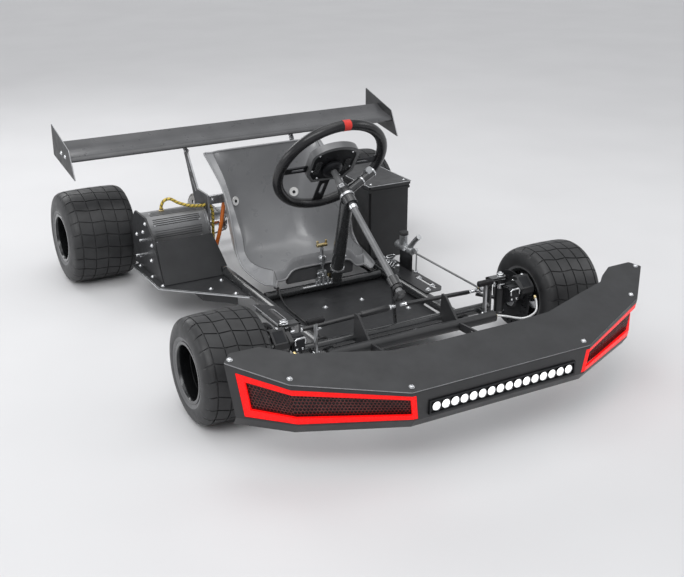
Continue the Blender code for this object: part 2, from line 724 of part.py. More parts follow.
def make_grille():
    """Mesh sheets behind the lamp frames."""
    for name, side in SIDES:
        columns = sorted(side * x for x in (WINDOW_OUTER_X - 0.004, NOSE_CORNER[0], NOSE_FRONT[0]))
        drops = (WINDOW_HIGH + 0.03, WINDOW_LOW - 0.03)
        inset = FRAME_DEPTH * 1.38 + GRILLE_SHEET
        rows = [[nose_wall(x, drop, inset) for x in columns] for drop in drops]
        piece(f"grille_{name}", sheet_from_grid(rows, set(), GRILLE_SHEET), "black_alloy",
              (NOSE_CORNER[0] * side, NOSE_CORNER[1], NOSE_FOOT_Z))


def nose_screw_places():
    """Plan places of the screws that hold the top plate, just behind its front corners."""
    places = []
    for (x, y) in (NOSE_TIP, NOSE_CORNER, NOSE_FRONT):
        back = 0.0045 if (x, y) == NOSE_TIP else NOSE_SCREW_INSET
        inward = NOSE_SCREW_INSET if (x, y) == NOSE_TIP else 0.008
        places += [(x - inward, y + back), (-(x - inward), y + back)]
    return places


def nose_plate_frame(x, y):
    """Placement on the top plate's upper face, local Z along its normal."""
    normal = Vector((0.0, -sin(NOSE_ANGLE), cos(NOSE_ANGLE)))
    return frame_at((x, y, nose_top_z(y)), normal, (1, 0, 0))


def make_nose_top_plate():
    front = [(x, y) for x, y in NOSE_PLAN]
    half_rear = [(0.583, -0.231), (0.511, -0.232), (0.468, -0.257), (0.446, -0.276), (0.365, -0.296),
                 (0.228, -0.333), (0.100, -0.338)]
    rear = half_rear + [(-x, y) for x, y in reversed(half_rear)]
    lengthen = 1 / cos(NOSE_ANGLE)
    outline = [(x, (y - NOSE_CORNER[1]) * lengthen) for x, y in front + rear]
    holes = [ring_of_points((x, (y - NOSE_CORNER[1]) * lengthen), 0.0030, 8) for x, y in nose_screw_places()]
    plate = flat([outline] + holes, -SHEET, 0.0, nose_plate_frame(0, NOSE_CORNER[1]))
    piece("nose_top_plate", plate, "satin_black_steel", (0, NOSE_CORNER[1], NOSE_CORNER_Z))


def lamp_places():
    pitch = (2 * LAMP_BAR_HALF - 2 * LAMP_RIM - 2 * LAMP_R) / (LAMPS - 1) * 0.975
    return [(i - (LAMPS - 1) / 2) * pitch for i in range(LAMPS)]


def make_lamp_bar():
    back = LAMP_BAR_FRONT_Y + LAMP_BAR_DEPTH
    housing = box((-LAMP_BAR_HALF, LAMP_BAR_FRONT_Y, LAMP_BAR_LOW), (LAMP_BAR_HALF, back, LAMP_BAR_HIGH))
    pocket = box((-LAMP_BAR_HALF + LAMP_RIM, LAMP_BAR_FRONT_Y - 0.01, LAMP_BAR_LOW + LAMP_RIM),
                 (LAMP_BAR_HALF - LAMP_RIM, LAMP_BAR_FRONT_Y + LAMP_POCKET, LAMP_BAR_HIGH - LAMP_RIM))
    piece("lamp_bar", cut(housing, pocket), "black_alloy", (0, back, LAMP_BAR_LOW))
    middle = (LAMP_BAR_LOW + LAMP_BAR_HIGH) / 2
    floor = LAMP_BAR_FRONT_Y + LAMP_POCKET - GAP
    edge = LAMP_RIM + GAP
    strip = box((-LAMP_BAR_HALF + edge, floor - LENS_SHEET, LAMP_BAR_LOW + edge),
                (LAMP_BAR_HALF - edge, floor, LAMP_BAR_HIGH - edge))
    domes = []
    for x in lamp_places():
        dome = [(0.0, 0.0055), (LAMP_R * 0.7, 0.0035), (LAMP_R, 0.0005), (0.0, 0.0005)]
        domes.append(turned(dome, LAMP_SIDES, frame_at((x, floor, middle), (0, -1, 0), (1, 0, 0))))
    piece("lamp_lens", fuse(strip, *domes), "clear_lamp", (0, LAMP_BAR_FRONT_Y, middle))


def make_nose_carrier():
    """Cross tube in front of the beam, two plates that hang it there, and arms that hold the nose."""
    bodies = [rod((-CARRIER_HALF, CARRIER_Y, CARRIER_Z), (CARRIER_HALF, CARRIER_Y, CARRIER_Z), CARRIER_R)]
    front = LAMP_BAR_FRONT_Y + LAMP_BAR_DEPTH + GAP
    beam_side = BEAM_Z + sqrt(BEAM_R ** 2 - 0.006 ** 2)
    for side in (-1, 1):
        low, high = sided(CARRIER_ARM_X - PLATE / 2, CARRIER_ARM_X + PLATE / 2, side)
        hanger = [(-0.010, BEAM_Z + 0.076), (-0.028, BEAM_Z + 0.074), (CARRIER_Y, CARRIER_Z + 0.012),
                  (CARRIER_Y, CARRIER_Z - 0.012), (-BEAM_R - 0.004, BEAM_Z - 0.004),
                  (-0.006, beam_side + GAP)]
        arm = [(CARRIER_Y, CARRIER_Z - 0.010), (CARRIER_Y, CARRIER_Z + 0.010), (front, LAMP_BAR_HIGH - 0.004),
               (front, LAMP_BAR_LOW + 0.004)]
        bodies.append(across([hanger], low, high))
        bodies.append(across([arm], low, high))
    carrier = cut(fuse(*bodies), beam_cutter())
    piece("nose_carrier", carrier, "satin_black_steel", (0, CARRIER_Y, CARRIER_Z))


# Wheels

def tyre_profile(radius, width):
    """Half of the tyre's section, from the crown to the bead, as (radius, distance from the middle)."""
    half = width / 2
    bead = half - BEAD_INSET
    return [(radius, 0.0), (radius - 0.0006, half * 0.60), (radius - 0.008, half * 0.84),
            (BEAD_R + 0.0245, half), (BEAD_R + RIM_LIP + 0.001, bead), (BEAD_R, bead)]


def make_tyre(name, radius, width, matrix, origin):
    half = tyre_profile(radius, width)
    profile = [(r, -d) for r, d in reversed(half)] + half[1:]
    piece(name, turned(profile[::-1], WHEEL_FACETS, matrix), "tyre_rubber", origin)


def make_rim(name, width, disc_place, bore, matrix, origin):
    """One-piece rim: barrel with a lip at each bead and a disc that bolts to the hub."""
    lip = width / 2 - BEAD_INSET + GAP
    outer, inner = RIM_R, RIM_R - RIM_WALL
    edge = lip + RIM_LIP_WIDTH
    profile = [(outer + RIM_LIP, edge), (outer + RIM_LIP, lip), (outer, lip), (outer, -lip),
               (outer + RIM_LIP, -lip), (outer + RIM_LIP, -edge), (inner, -edge), (inner, disc_place),
               (bore, disc_place), (bore, disc_place + RIM_DISC), (inner, disc_place + RIM_DISC),
               (inner, edge)]
    piece(name, turned(profile, WHEEL_FACETS, matrix), "black_alloy", origin)


def make_wheels():
    for name, side in SIDES:
        centre = (FRONT_WHEEL_X * side, 0, FRONT_WHEEL_Z)
        matrix = wheel_frame(FRONT_WHEEL_X, 0, FRONT_WHEEL_Z, side)
        make_tyre(f"tyre_front_{name}", FRONT_TYRE_R, FRONT_TYRE_WIDTH, matrix, centre)
        seat = FRONT_HUB_X + HUB_FLANGE + GAP - FRONT_WHEEL_X
        make_rim(f"rim_front_{name}", FRONT_TYRE_WIDTH, seat, FRONT_RIM_BORE_R, matrix, centre)
        centre = (REAR_WHEEL_X * side, REAR_AXLE_Y, REAR_WHEEL_Z)
        matrix = wheel_frame(REAR_WHEEL_X, REAR_AXLE_Y, REAR_WHEEL_Z, side)
        make_tyre(f"tyre_rear_{name}", REAR_TYRE_R, REAR_TYRE_WIDTH, matrix, centre)
        seat = REAR_HUB_X + HUB_FLANGE + GAP - REAR_WHEEL_X
        make_rim(f"rim_rear_{name}", REAR_TYRE_WIDTH, seat, AXLE_R + GAP, matrix, centre)


# Front axle

def make_front_discs():
    """Drilled brake disc and wheel hub, turning on the spindle."""
    bore = SPINDLE_R + RUNNING_GAP
    for name, side in SIDES:
        matrix = frame_at((0, 0, FRONT_WHEEL_Z), (side, 0, 0), (0, 0, 1))
        flange = FRONT_HUB_X + HUB_FLANGE
        profile = [(HUB_FLANGE_R, flange), (HUB_FLANGE_R, FRONT_HUB_X), (HUB_R, FRONT_HUB_X),
                   (HUB_R, DISC_X - 0.004), (bore, DISC_X - 0.004), (bore, flange)]
        hub = turned(profile, TUBE_SIDES, matrix)
        holes = [ring_of_points(place, DISC_HOLE_R, DISC_HOLE_SIDES)
                 for place in ring_of_points((0, 0), DISC_HOLE_CIRCLE, DISC_HOLES)]
        outline = ring_of_points((0, 0), DISC_R, DISC_FACETS)
        middle = ring_of_points((0, 0), HUB_R - 0.003, 12)
        disc = flat([outline, middle] + holes, DISC_X, DISC_X + DISC_WIDTH, matrix)
        piece(f"front_disc_{name}", fuse(hub, disc), "grey_alloy", (0, 0, FRONT_WHEEL_Z))


def make_knuckles():
    """Kingpin barrel, spindle with its nut, steering arm with its stud, and the brake calliper."""
    low, high = YOKE_LOW_Z + PLATE + GAP, YOKE_HIGH_Z - PLATE - GAP
    for name, side in SIDES:
        x = KINGPIN_X * side
        barrel = collar(KINGPIN_R + RUNNING_GAP, BARREL_R, low, high, Matrix.Translation((x, 0, 0)), 12)
        spindle = rod((x + side * (BARREL_R - 0.004), 0, FRONT_WHEEL_Z),
                      (SPINDLE_END_X * side, 0, FRONT_WHEEL_Z), SPINDLE_R, 12)
        nut_x = FRONT_HUB_X + HUB_FLANGE + RUNNING_GAP
        nut = rod((nut_x * side, 0, FRONT_WHEEL_Z), ((nut_x + 0.014) * side, 0, FRONT_WHEEL_Z), 0.015, 6)
        ball = Vector((ARM_END[0] * side, ARM_END[1], 0))
        along = (ball - Vector((x, 0, 0))).normalized()
        aside = Vector((-along.y, along.x, 0)) * PLATE
        start = Vector((x, 0, 0)) + along * (BARREL_R - 0.003)
        end = ball + along * 0.006
        arm = flat([[tuple((start + aside).xy), tuple((end + aside).xy), tuple((end - aside).xy),
                     tuple((start - aside).xy)]], ARM_Z, ARM_Z + PLATE)
        stud = rod((ball.x, ball.y, ARM_Z + PLATE / 2), (ball.x, ball.y, ROD_Z + 0.010), STUD_R, 8)
        inner = CALLIPER_WIDTH / 2
        middle = DISC_X + DISC_WIDTH / 2
        bracket = [(0.010, 0.128), (0.010, 0.182), (-0.050, 0.212), (-0.080, 0.196), (-0.050, 0.160),
                   (-0.010, 0.128)]
        bracket_x = sided(KINGPIN_X + 0.011, middle - inner + 0.001, side)
        ear = across([bracket], *bracket_x)
        tilt = radians(CALLIPER_TILT)
        outward = Vector((0, -sin(tilt), cos(tilt)))
        centre = Vector((middle * side, 0, FRONT_WHEEL_Z)) + outward * (DISC_R - CALLIPER_DEPTH / 2 + 0.010)
        length, depth = CALLIPER_LENGTH, CALLIPER_DEPTH
        shape = [(-length / 2, -depth / 2), (length / 2, -depth / 2), (length / 2, depth / 4),
                 (length / 3, depth / 2), (-length / 3, depth / 2), (-length / 2, depth / 4)]
        block = flat([shape], -inner, inner, frame_at(centre, (1, 0, 0), outward.cross(Vector((1, 0, 0)))))
        knuckle = fuse(barrel, spindle, nut, arm, stud, ear, block)
        gap = DISC_WIDTH / 2 + 2 * RUNNING_GAP
        disc_middle = Vector((middle * side, 0, FRONT_WHEEL_Z))
        reach = Vector((gap * side, 0, 0))
        disc_room = rod(disc_middle - reach, disc_middle + reach, DISC_R + 0.0015, DISC_FACETS)
        spindle_keep = rod(disc_middle - 2 * reach, disc_middle + 2 * reach, SPINDLE_R * 1.5, 12)
        knuckle = cut(knuckle, cut(disc_room, spindle_keep))
        piece(f"knuckle_{name}", knuckle, "grey_alloy", (x, 0, FRONT_WHEEL_Z))


def pitman_end():
    return Vector(WHEEL_CENTRE) - COLUMN_UP * (SHAFT_LENGTH - 0.005) - WHEEL_UP * PITMAN_LENGTH


def make_tie_rods():
    """From the stud on each knuckle to just under the pitman arm."""
    for name, side in SIDES:
        ball = Vector((ARM_END[0] * side, ARM_END[1], ROD_Z))
        eye = collar(STUD_R + RUNNING_GAP, ROD_END_R, -0.005, 0.005, Matrix.Translation(ball), 12)
        inner = pitman_end() + Vector((0.010 * side, 0, -0.014))
        along = (inner - ball).normalized()
        start = ball + along * (ROD_END_R - 0.003)
        neck = rod(start, start + along * 0.030, 0.0045, 8)
        shank = rod(start + along * 0.020, inner, 0.006 if side > 0 else 0.0065, 10)
        bodies = [eye, neck, shank]
        if side < 0:
            bodies.append(rod(inner - along * 0.100, inner - along * 0.002, 0.0085, 10))
        piece(f"tie_rod_{name}", fuse(*bodies), "black_alloy", tuple(ball))


def make_brake_hoses():
    """Hydraulic hoses from the callipers to the ends of the carrier tube."""
    for name, side in SIDES:
        route = [(0.3660, -0.1140, 0.1850), (0.3600, -0.1300, 0.1750), (0.3420, -0.1500, 0.1560),
                 (0.3100, -0.1420, 0.1420), (0.2820, -0.1020, 0.1385),
                 (CARRIER_HALF + 0.010, CARRIER_Y, CARRIER_Z), (CARRIER_HALF + GAP, CARRIER_Y, CARRIER_Z)]
        points = smooth_route([(x * side, y, z) for x, y, z in route], 0.018)
        piece(f"brake_hose_{name}", tube(points, HOSE_R), "grip_foam", tuple(points[-1]))


# Steering

def make_steering_shaft():
    """Column shaft from the hub to the pitman arm."""
    centre = Vector(WHEEL_CENTRE)
    top = centre - COLUMN_UP * (HUB_THICKNESS / 2 + GAP)
    bottom = centre - COLUMN_UP * SHAFT_LENGTH
    shaft = rod(top, bottom, SHAFT_R, TUBE_SIDES)
    stop = rod(centre - COLUMN_UP * (FOOT_SLEEVE_TO + RUNNING_GAP),
               centre - COLUMN_UP * (FOOT_SLEEVE_TO + 0.010), 0.0135, TUBE_SIDES)
    outline = [(-0.011, -0.010), (0.011, -0.010), (0.014, PITMAN_LENGTH - 0.004),
               (0.008, PITMAN_LENGTH + 0.004), (-0.008, PITMAN_LENGTH + 0.004),
               (-0.014, PITMAN_LENGTH - 0.004)]
    pitman_end_height = SHAFT_LENGTH - 0.002
    pitman = flat([outline], pitman_end_height - PITMAN_PLATE, pitman_end_height, column_frame())
    piece("steering_shaft", fuse(shaft, stop, pitman), "bright_steel", WHEEL_CENTRE)


def wheel_plane():
    """Local Z points to the driver, local Y to twelve o'clock."""
    return frame_at(WHEEL_CENTRE, COLUMN_UP, WHEEL_UP.cross(COLUMN_UP))


def make_steering_ring():
    turns = [tau * i / GRIP_FACETS for i in range(GRIP_FACETS)]
    profile = [(RING_R + GRIP_R * cos(turn), -GRIP_R * sin(turn)) for turn in turns]
    ring = turned(profile, RING_FACETS, wheel_plane())
    piece("steering_ring", ring, "grip_foam", WHEEL_CENTRE)


def make_steering_hub():
    """Arched control panel with three spokes and pockets for the two push buttons."""
    half = HUB_THICKNESS / 2
    arch = []
    for degrees in range(0, 181, 20):
        turn = radians(degrees)
        arch.append((HUB_HALF_WIDTH * cos(turn), HUB_SHOULDER + (HUB_TOP - HUB_SHOULDER) * sin(turn)))
    outline = [(-HUB_HALF_WIDTH, -0.020), (-0.052, -HUB_BOTTOM), (0.052, -HUB_BOTTOM),
               (HUB_HALF_WIDTH, -0.020)] + arch
    bodies = [flat([outline], -half, half, wheel_plane())]
    grip_inside = facet_inner(RING_R - GRIP_R, RING_FACETS)
    reach = sqrt(grip_inside ** 2 - (SPOKE_WIDTH * 0.7) ** 2) - GAP
    thin = SPOKE_THICKNESS / 2
    for low, high in (((-reach, -SPOKE_WIDTH / 2), (reach, SPOKE_WIDTH / 2)),
                      ((-SPOKE_WIDTH * 0.7, -reach), (SPOKE_WIDTH * 0.7, 0.0))):
        spoke = flat([[low, (high[0], low[1]), high, (low[0], high[1])]], -thin, thin, wheel_plane())
        bodies.append(spoke)
    hub = fuse(*bodies)
    pockets = [rod(button_point(side, half + 0.01), button_point(side, half - BUTTON_POCKET), BUTTON_R + GAP)
               for side in (-1, 1)]
    piece("steering_hub", cut(hub, *pockets), "black_alloy", WHEEL_CENTRE)


def button_point(side, height):
    """A point on a button's axis at a height above the middle of the hub panel."""
    return wheel_plane() @ Vector((-side * BUTTON_PLACE[0], BUTTON_PLACE[1], height))


def make_wheel_buttons():
    half = HUB_THICKNESS / 2
    for name, side in SIDES:
        base = half - BUTTON_POCKET + BUTTON_TRAVEL + GAP
        button = rod(button_point(side, base), button_point(side, half + 0.003), BUTTON_R)
        piece(f"wheel_button_{name}", button, "red_button", tuple(button_point(side, half)))


def make_steering_post():
    """Cross tube between the rails, with the column post, its sleeve, its side arm and the selector base."""
    centre = Vector(WHEEL_CENTRE)
    sleeve = rod(centre - COLUMN_UP * SLEEVE_FROM, centre - COLUMN_UP * SLEEVE_TO, SLEEVE_R, TUBE_SIDES)
    head = centre - COLUMN_UP * (SLEEVE_FROM + SLEEVE_TO) / 2
    leg = rod((POST_FOOT_X, MID_TUBE_Y, RAIL_Z), head, POST_R, TUBE_SIDES)
    arm = rod(centre - COLUMN_UP * (SLEEVE_FROM + SIDE_ARM_R), SIDE_ARM_END, SIDE_ARM_R)
    tube_top = RAIL_Z + CROSS_TUBE_R
    block = box((SELECTOR_X - 0.0165, MID_TUBE_Y - 0.013, tube_top - 0.006),
                (POST_FOOT_X, MID_TUBE_Y + 0.013, tube_top + 0.010))
    cheeks = []
    for low, high in ((-0.0105, -0.0035), (0.0035, 0.0105)):
        cheeks.append(box((SELECTOR_X + low, MID_TUBE_Y - 0.010, tube_top),
                          (SELECTOR_X + high, MID_TUBE_Y + 0.010, SELECTOR_PIVOT_Z + 0.010)))
    pin = rod((SELECTOR_X - 0.009, MID_TUBE_Y, SELECTOR_PIVOT_Z),
              (SELECTOR_X + 0.009, MID_TUBE_Y, SELECTOR_PIVOT_Z), PEDAL_PIN_R)
    post = fuse(leg, sleeve, arm, block, *cheeks, pin)
    bore = rod(centre, centre - COLUMN_UP * (SLEEVE_TO + 0.060), SHAFT_R + RUNNING_GAP, TUBE_SIDES)
    below = box((-0.05, MID_TUBE_Y - 0.05, 0.05), (0.10, MID_TUBE_Y + 0.05, RAIL_Z + 0.001))
    half = RAIL_X - RAIL_R - GAP
    cross_tube = rod((-half, MID_TUBE_Y, RAIL_Z), (half, MID_TUBE_Y, RAIL_Z), CROSS_TUBE_R)
    post = fuse(cut(post, bore, below), cross_tube)
    piece("steering_post", post, "gloss_black_steel", (POST_FOOT_X, MID_TUBE_Y, RAIL_Z))


# Pedals and levers

def make_selector_lever():
    x, y = SELECTOR_X, MID_TUBE_Y
    thin = 0.0035 - GAP
    outline = [(y - 0.0065, SELECTOR_PIVOT_Z - 0.004), (y, SELECTOR_PIVOT_Z - 0.007),
               (y + 0.0065, SELECTOR_PIVOT_Z - 0.004), (y + 0.0045, SELECTOR_TOP_Z),
               (y - 0.0045, SELECTOR_TOP_Z)]
    blade = across([outline], x - thin, x + thin)
    grip = rod((x - 0.017, y, SELECTOR_TOP_Z - 0.002), (x + 0.017, y, SELECTOR_TOP_Z - 0.002), 0.0060)
    bore = rod((x - 0.02, y, SELECTOR_PIVOT_Z), (x + 0.02, y, SELECTOR_PIVOT_Z), PEDAL_PIN_R + GAP)
    piece("selector_lever", cut(fuse(blade, grip), bore), "bright_steel", (x, y, SELECTOR_PIVOT_Z))


def make_pedals():
    names = {-1: "accelerator_pedal", 1: "brake_pedal"}
    for side in (-1, 1):
        x, half = PEDAL_X * side, PEDAL_THICKNESS / 2
        stem = across([[(PEDAL_Y - 0.006, PEDAL_PIVOT_Z - 0.003), (PEDAL_Y, PEDAL_PIVOT_Z - 0.0065),
                        (PEDAL_Y + 0.006, PEDAL_PIVOT_Z - 0.003), (PEDAL_Y + 0.006, PEDAL_TOP_Z - 0.006),
                        (PEDAL_Y - 0.004, PEDAL_TOP_Z - 0.004)]], x - half, x + half)
        pad = rod((x - PEDAL_PAD_HALF, PEDAL_Y + 0.002, PEDAL_TOP_Z - 0.008),
                  (x + PEDAL_PAD_HALF, PEDAL_Y + 0.002, PEDAL_TOP_Z - 0.008), 0.009)
        bore = rod((x - 0.02, PEDAL_Y, PEDAL_PIVOT_Z), (x + 0.02, PEDAL_Y, PEDAL_PIVOT_Z), PEDAL_PIN_R + GAP)
        piece(names[side], cut(fuse(stem, pad), bore), "black_alloy", (x, PEDAL_Y, PEDAL_PIVOT_Z))


def make_brake_line():
    """Brake rod, the master cylinder on its slotted base, and the return spring beside it."""
    start = PEDAL_Y + 0.006 + RUNNING_GAP
    rod_end = MASTER_Y[0] + 0.030
    bar = rod((PEDAL_X, start, BRAKE_ROD_Z), (PEDAL_X, rod_end, BRAKE_ROD_Z), BRAKE_ROD_R, 10)
    clevis = rod((PEDAL_X, start, BRAKE_ROD_Z), (PEDAL_X, start + 0.020, BRAKE_ROD_Z), 0.0055, 8)
    piece("brake_rod", fuse(bar, clevis), "bright_steel", (PEDAL_X, start, BRAKE_ROD_Z))

    base_low = RAIL_TOP_Z + GAP
    base = flat([[(0.204, 0.168), (0.255, 0.168), (0.272, 0.190), (0.272, 0.445), (0.204, 0.445)],
                 slot((0.250, 0.240), 0.110, 0.010, pi / 2)], base_low, base_low + SHEET)
    upright = box((PEDAL_X - PLATE / 2, MASTER_Y[0] + 0.006, base_low + SHEET / 2),
                  (PEDAL_X + PLATE / 2, MASTER_Y[1] - 0.020, BRAKE_ROD_Z))
    body = rod((PEDAL_X, MASTER_Y[0], BRAKE_ROD_Z), (PEDAL_X, MASTER_Y[1], BRAKE_ROD_Z), MASTER_R, 16)
    reservoir_y = MASTER_Y[1] - 0.036
    reservoir = rod((PEDAL_X, reservoir_y, BRAKE_ROD_Z), (PEDAL_X, reservoir_y, RESERVOIR_TOP_Z),
                    RESERVOIR_R, 16)
    tabs = []
    tab = SHEET / 2
    for y in (SPRING_Y[0] - SPRING_WIRE_R - tab - GAP, SPRING_Y[1] + SPRING_WIRE_R + tab + GAP):
        tabs.append(box((SPRING_X - 0.008, y - tab, base_low + tab),
                        (SPRING_X + 0.008, y + tab, SPRING_Z + 0.008)))
    stroke = rod((PEDAL_X, MASTER_Y[0] - 0.01, BRAKE_ROD_Z), (PEDAL_X, rod_end + 0.004, BRAKE_ROD_Z),
                 BRAKE_ROD_R + RUNNING_GAP, 10)
    master = cut(fuse(base, upright, body, reservoir, *tabs), stroke)
    piece("master_cylinder", master, "black_alloy", (PEDAL_X, MASTER_Y[0], BRAKE_ROD_Z))


def make_return_spring():
    """Wound wire beside the master cylinder."""
    count = SPRING_TURNS * SPRING_POINTS
    pitch = (SPRING_Y[1] - SPRING_Y[0]) / count
    coil = []
    for i in range(count + 1):
        angle = tau * i / SPRING_POINTS
        coil.append(Vector((SPRING_X + SPRING_R * cos(angle), SPRING_Y[0] + pitch * i,
                            SPRING_Z + SPRING_R * sin(angle))))
    least = least_gap(coil, SPRING_WIRE_R, SPRING_POINTS // 2)
    print(f"return spring: least gap between turns {least * 1000:.2f} mm")
    piece("return_spring", tube(coil, SPRING_WIRE_R, 1), "bright_steel", (SPRING_X, SPRING_Y[0], SPRING_Z))


def least_gap(points, radius, apart):
    """Least clear distance of a wound wire to itself, between points half a turn or more apart."""
    nearest = min((points[j] - points[i]).length
                  for i in range(len(points)) for j in range(i + apart, len(points)))
    return nearest - 2 * radius


def make_accelerator_lead():
    """Thin lead from the accelerator pedal's lug, over the pan and under the seat."""
    low = PAN_TOP_Z + 0.0045
    points = [(-0.2510, 0.0176, 0.1270), (-0.2400, 0.0200, 0.1300), (-0.2260, 0.0260, 0.1310),
              (-0.2080, 0.0340, 0.1300), (-0.1880, 0.0500, 0.1190), (-0.1780, 0.0700, 0.1030),
              (-0.1720, 0.1050, low), (-0.1640, 0.2200, low), (-0.1600, 0.3300, low),
              (-0.1570, 0.3800, 0.1090), (-0.1500, MID_TUBE_Y, 0.1255), (-0.1400, 0.4400, 0.1090),
              (-0.1230, 0.4700, low), (-0.1200, 0.5000, 0.0900)]
    route = smooth_route(points, 0.025)
    piece("accelerator_lead", tube(route, PEDAL_LEAD_R, 1), "grip_foam", tuple(points[0]))


# Seat

def seat_row(row):
    """Points of one cross row from the middle to the left flange."""
    (y0, z0), (xe, ye, ze), flange, hump = row
    points = []
    for fraction, lift in zip(SEAT_FRACTIONS, SEAT_HUMP):
        rise = 1 - sqrt(1 - fraction ** 4)
        points.append(Vector((xe * fraction, y0 + (ye - y0) * rise, z0 + (ze - z0) * rise + hump * lift)))
    points.append(Vector(flange))
    return points


def seat_surface(row, column, u, v):
    """A point inside one quad of the seat's inner face."""
    first, second = seat_row(SEAT_ROWS[row]), seat_row(SEAT_ROWS[row + 1])
    return first[column].lerp(first[column + 1], v).lerp(second[column].lerp(second[column + 1], v), u)


def seat_bolt_axis(side):
    """Place and inward normal of a seat bolt on the inner face."""
    row, column = SEAT_BOLT_CELL
    u, v = SEAT_BOLT_SHARE
    point = seat_surface(row, column, u, v)
    down = seat_surface(row, column, u + 0.1, v) - point
    aside = seat_surface(row, column, u, v + 0.1) - point
    normal = down.cross(aside).normalized()
    if normal.y > 0:
        normal = -normal
    return Vector((point.x * side, point.y, point.z)), Vector((normal.x * side, normal.y, normal.z))


def make_seat():
    rows = []
    for row in SEAT_ROWS:
        half = seat_row(row)
        rows.append([Vector((-p.x, p.y, p.z)) for p in reversed(half)] + half[1:])
    shell = sheet_from_grid(rows, set(), SEAT_WALL)
    holes = []
    for side in (-1, 1):
        point, normal = seat_bolt_axis(side)
        holes.append(rod(point - normal * 0.02, point + normal * 0.02, SEAT_BOLT_R + 2 * GAP))
    piece("seat_shell", cut(shell, *holes), "seat_shell", (0, SEAT_ROWS[4][0][0], SEAT_ROWS[4][0][1]))


def make_seat_bar():
    """Flat bar between the two struts, with the bolts and wide washers that clamp the seat back to it."""
    half = STRUT_INNER - GAP
    front = SEAT_ROWS[2][0][0] + SEAT_WALL + 3 * GAP
    bar = box((-half, front, SEAT_BAR_Z - SEAT_BAR_HEIGHT / 2),
              (half, front + SEAT_BAR_DEPTH, SEAT_BAR_Z + SEAT_BAR_HEIGHT / 2))
    bolts = []
    for side in (-1, 1):
        point, normal = seat_bolt_axis(side)
        head = [(0.0, 0.0080), (0.0042, 0.0080), (0.0062, 0.0060), (0.0062, 0.0030), (SEAT_WASHER_R, 0.0030),
                (SEAT_WASHER_R, 5 * GAP), (SEAT_BOLT_R, 5 * GAP), (SEAT_BOLT_R, -SEAT_BOLT_LENGTH),
                (0.0, -SEAT_BOLT_LENGTH)]
        bolts.append(turned(head, ROUND_SIDES, frame_at(point, normal, (0, 0, 1))))
    piece("seat_bar", fuse(bar, *bolts), "satin_black_steel", (0, front, SEAT_BAR_Z))


# Wing

def make_wing():
    blade = across([WING_SECTION], -WING_HALF + GAP, WING_HALF - GAP)
    piece("wing_blade", blade, "satin_black_steel", (0, WING_SECTION[2][0], WING_SECTION[2][1]))
    for name, side in SIDES:
        low, high = sided(WING_HALF, WING_HALF + SHEET, side)
        piece(f"end_plate_{name}", across([END_PLATE], low, high), "satin_black_steel",
              (WING_HALF * side, *END_PLATE[0]))


def make_wing_struts():
    """Raked plates from the rails to the wing, lightened with slots; the motor shaft passes through them."""
    under = [(y, z - GAP) for y, z in (WING_SECTION[-2], WING_SECTION[-3])]
    outline = [(0.815, 0.091), (0.930, 0.091), (0.930, 0.125), (0.925, 0.258)] + under[::-1]
    outline += [(0.900, 0.305), (0.815, 0.305)]
    rake = atan((under[0][1] - 0.305) / (under[0][0] - 0.900))
    holes = [ring_of_points((MOTOR_Y, MOTOR_Z), 0.0275, 16), slot((0.9265, 0.315), 0.050, STRUT_SLOT, rake),
             slot((0.9645, 0.369), 0.050, STRUT_SLOT, rake)]
    holes.append(ring_of_points(LEAD_HOLE, LEAD_R + 8 * GAP, 12))
    for name, side in SIDES:
        low, high = sided(STRUT_INNER, STRUT_OUTER, side)
        strut = across([outline] + holes, low, high)
        piece(f"wing_strut_{name}", strut, "satin_black_steel", (STRUT_X * side, 0.872, 0.091))


# Drive

def finned_section():
    """Cross-section of the motor's barrel: flat bands between groups of lengthwise fins."""
    points = []
    group = tau / FIN_GROUPS
    fin = group * 0.62 / (2 * FINS + 1)
    for g in range(FIN_GROUPS):
        start = g * group
        points.append((MOTOR_R, start))
        points.append((MOTOR_R, start + group * 0.38))
        angle = start + group * 0.38
        for i in range(FINS + 1):
            points += [(MOTOR_R - FIN_DEPTH, angle + 0.001), (MOTOR_R - FIN_DEPTH, angle + fin)]
            angle += fin
            if i < FINS:
                points += [(MOTOR_R, angle + 0.001), (MOTOR_R, angle + fin)]
                angle += fin
    return [(MOTOR_Y + r * cos(a), MOTOR_Z + r * sin(a)) for r, a in points]


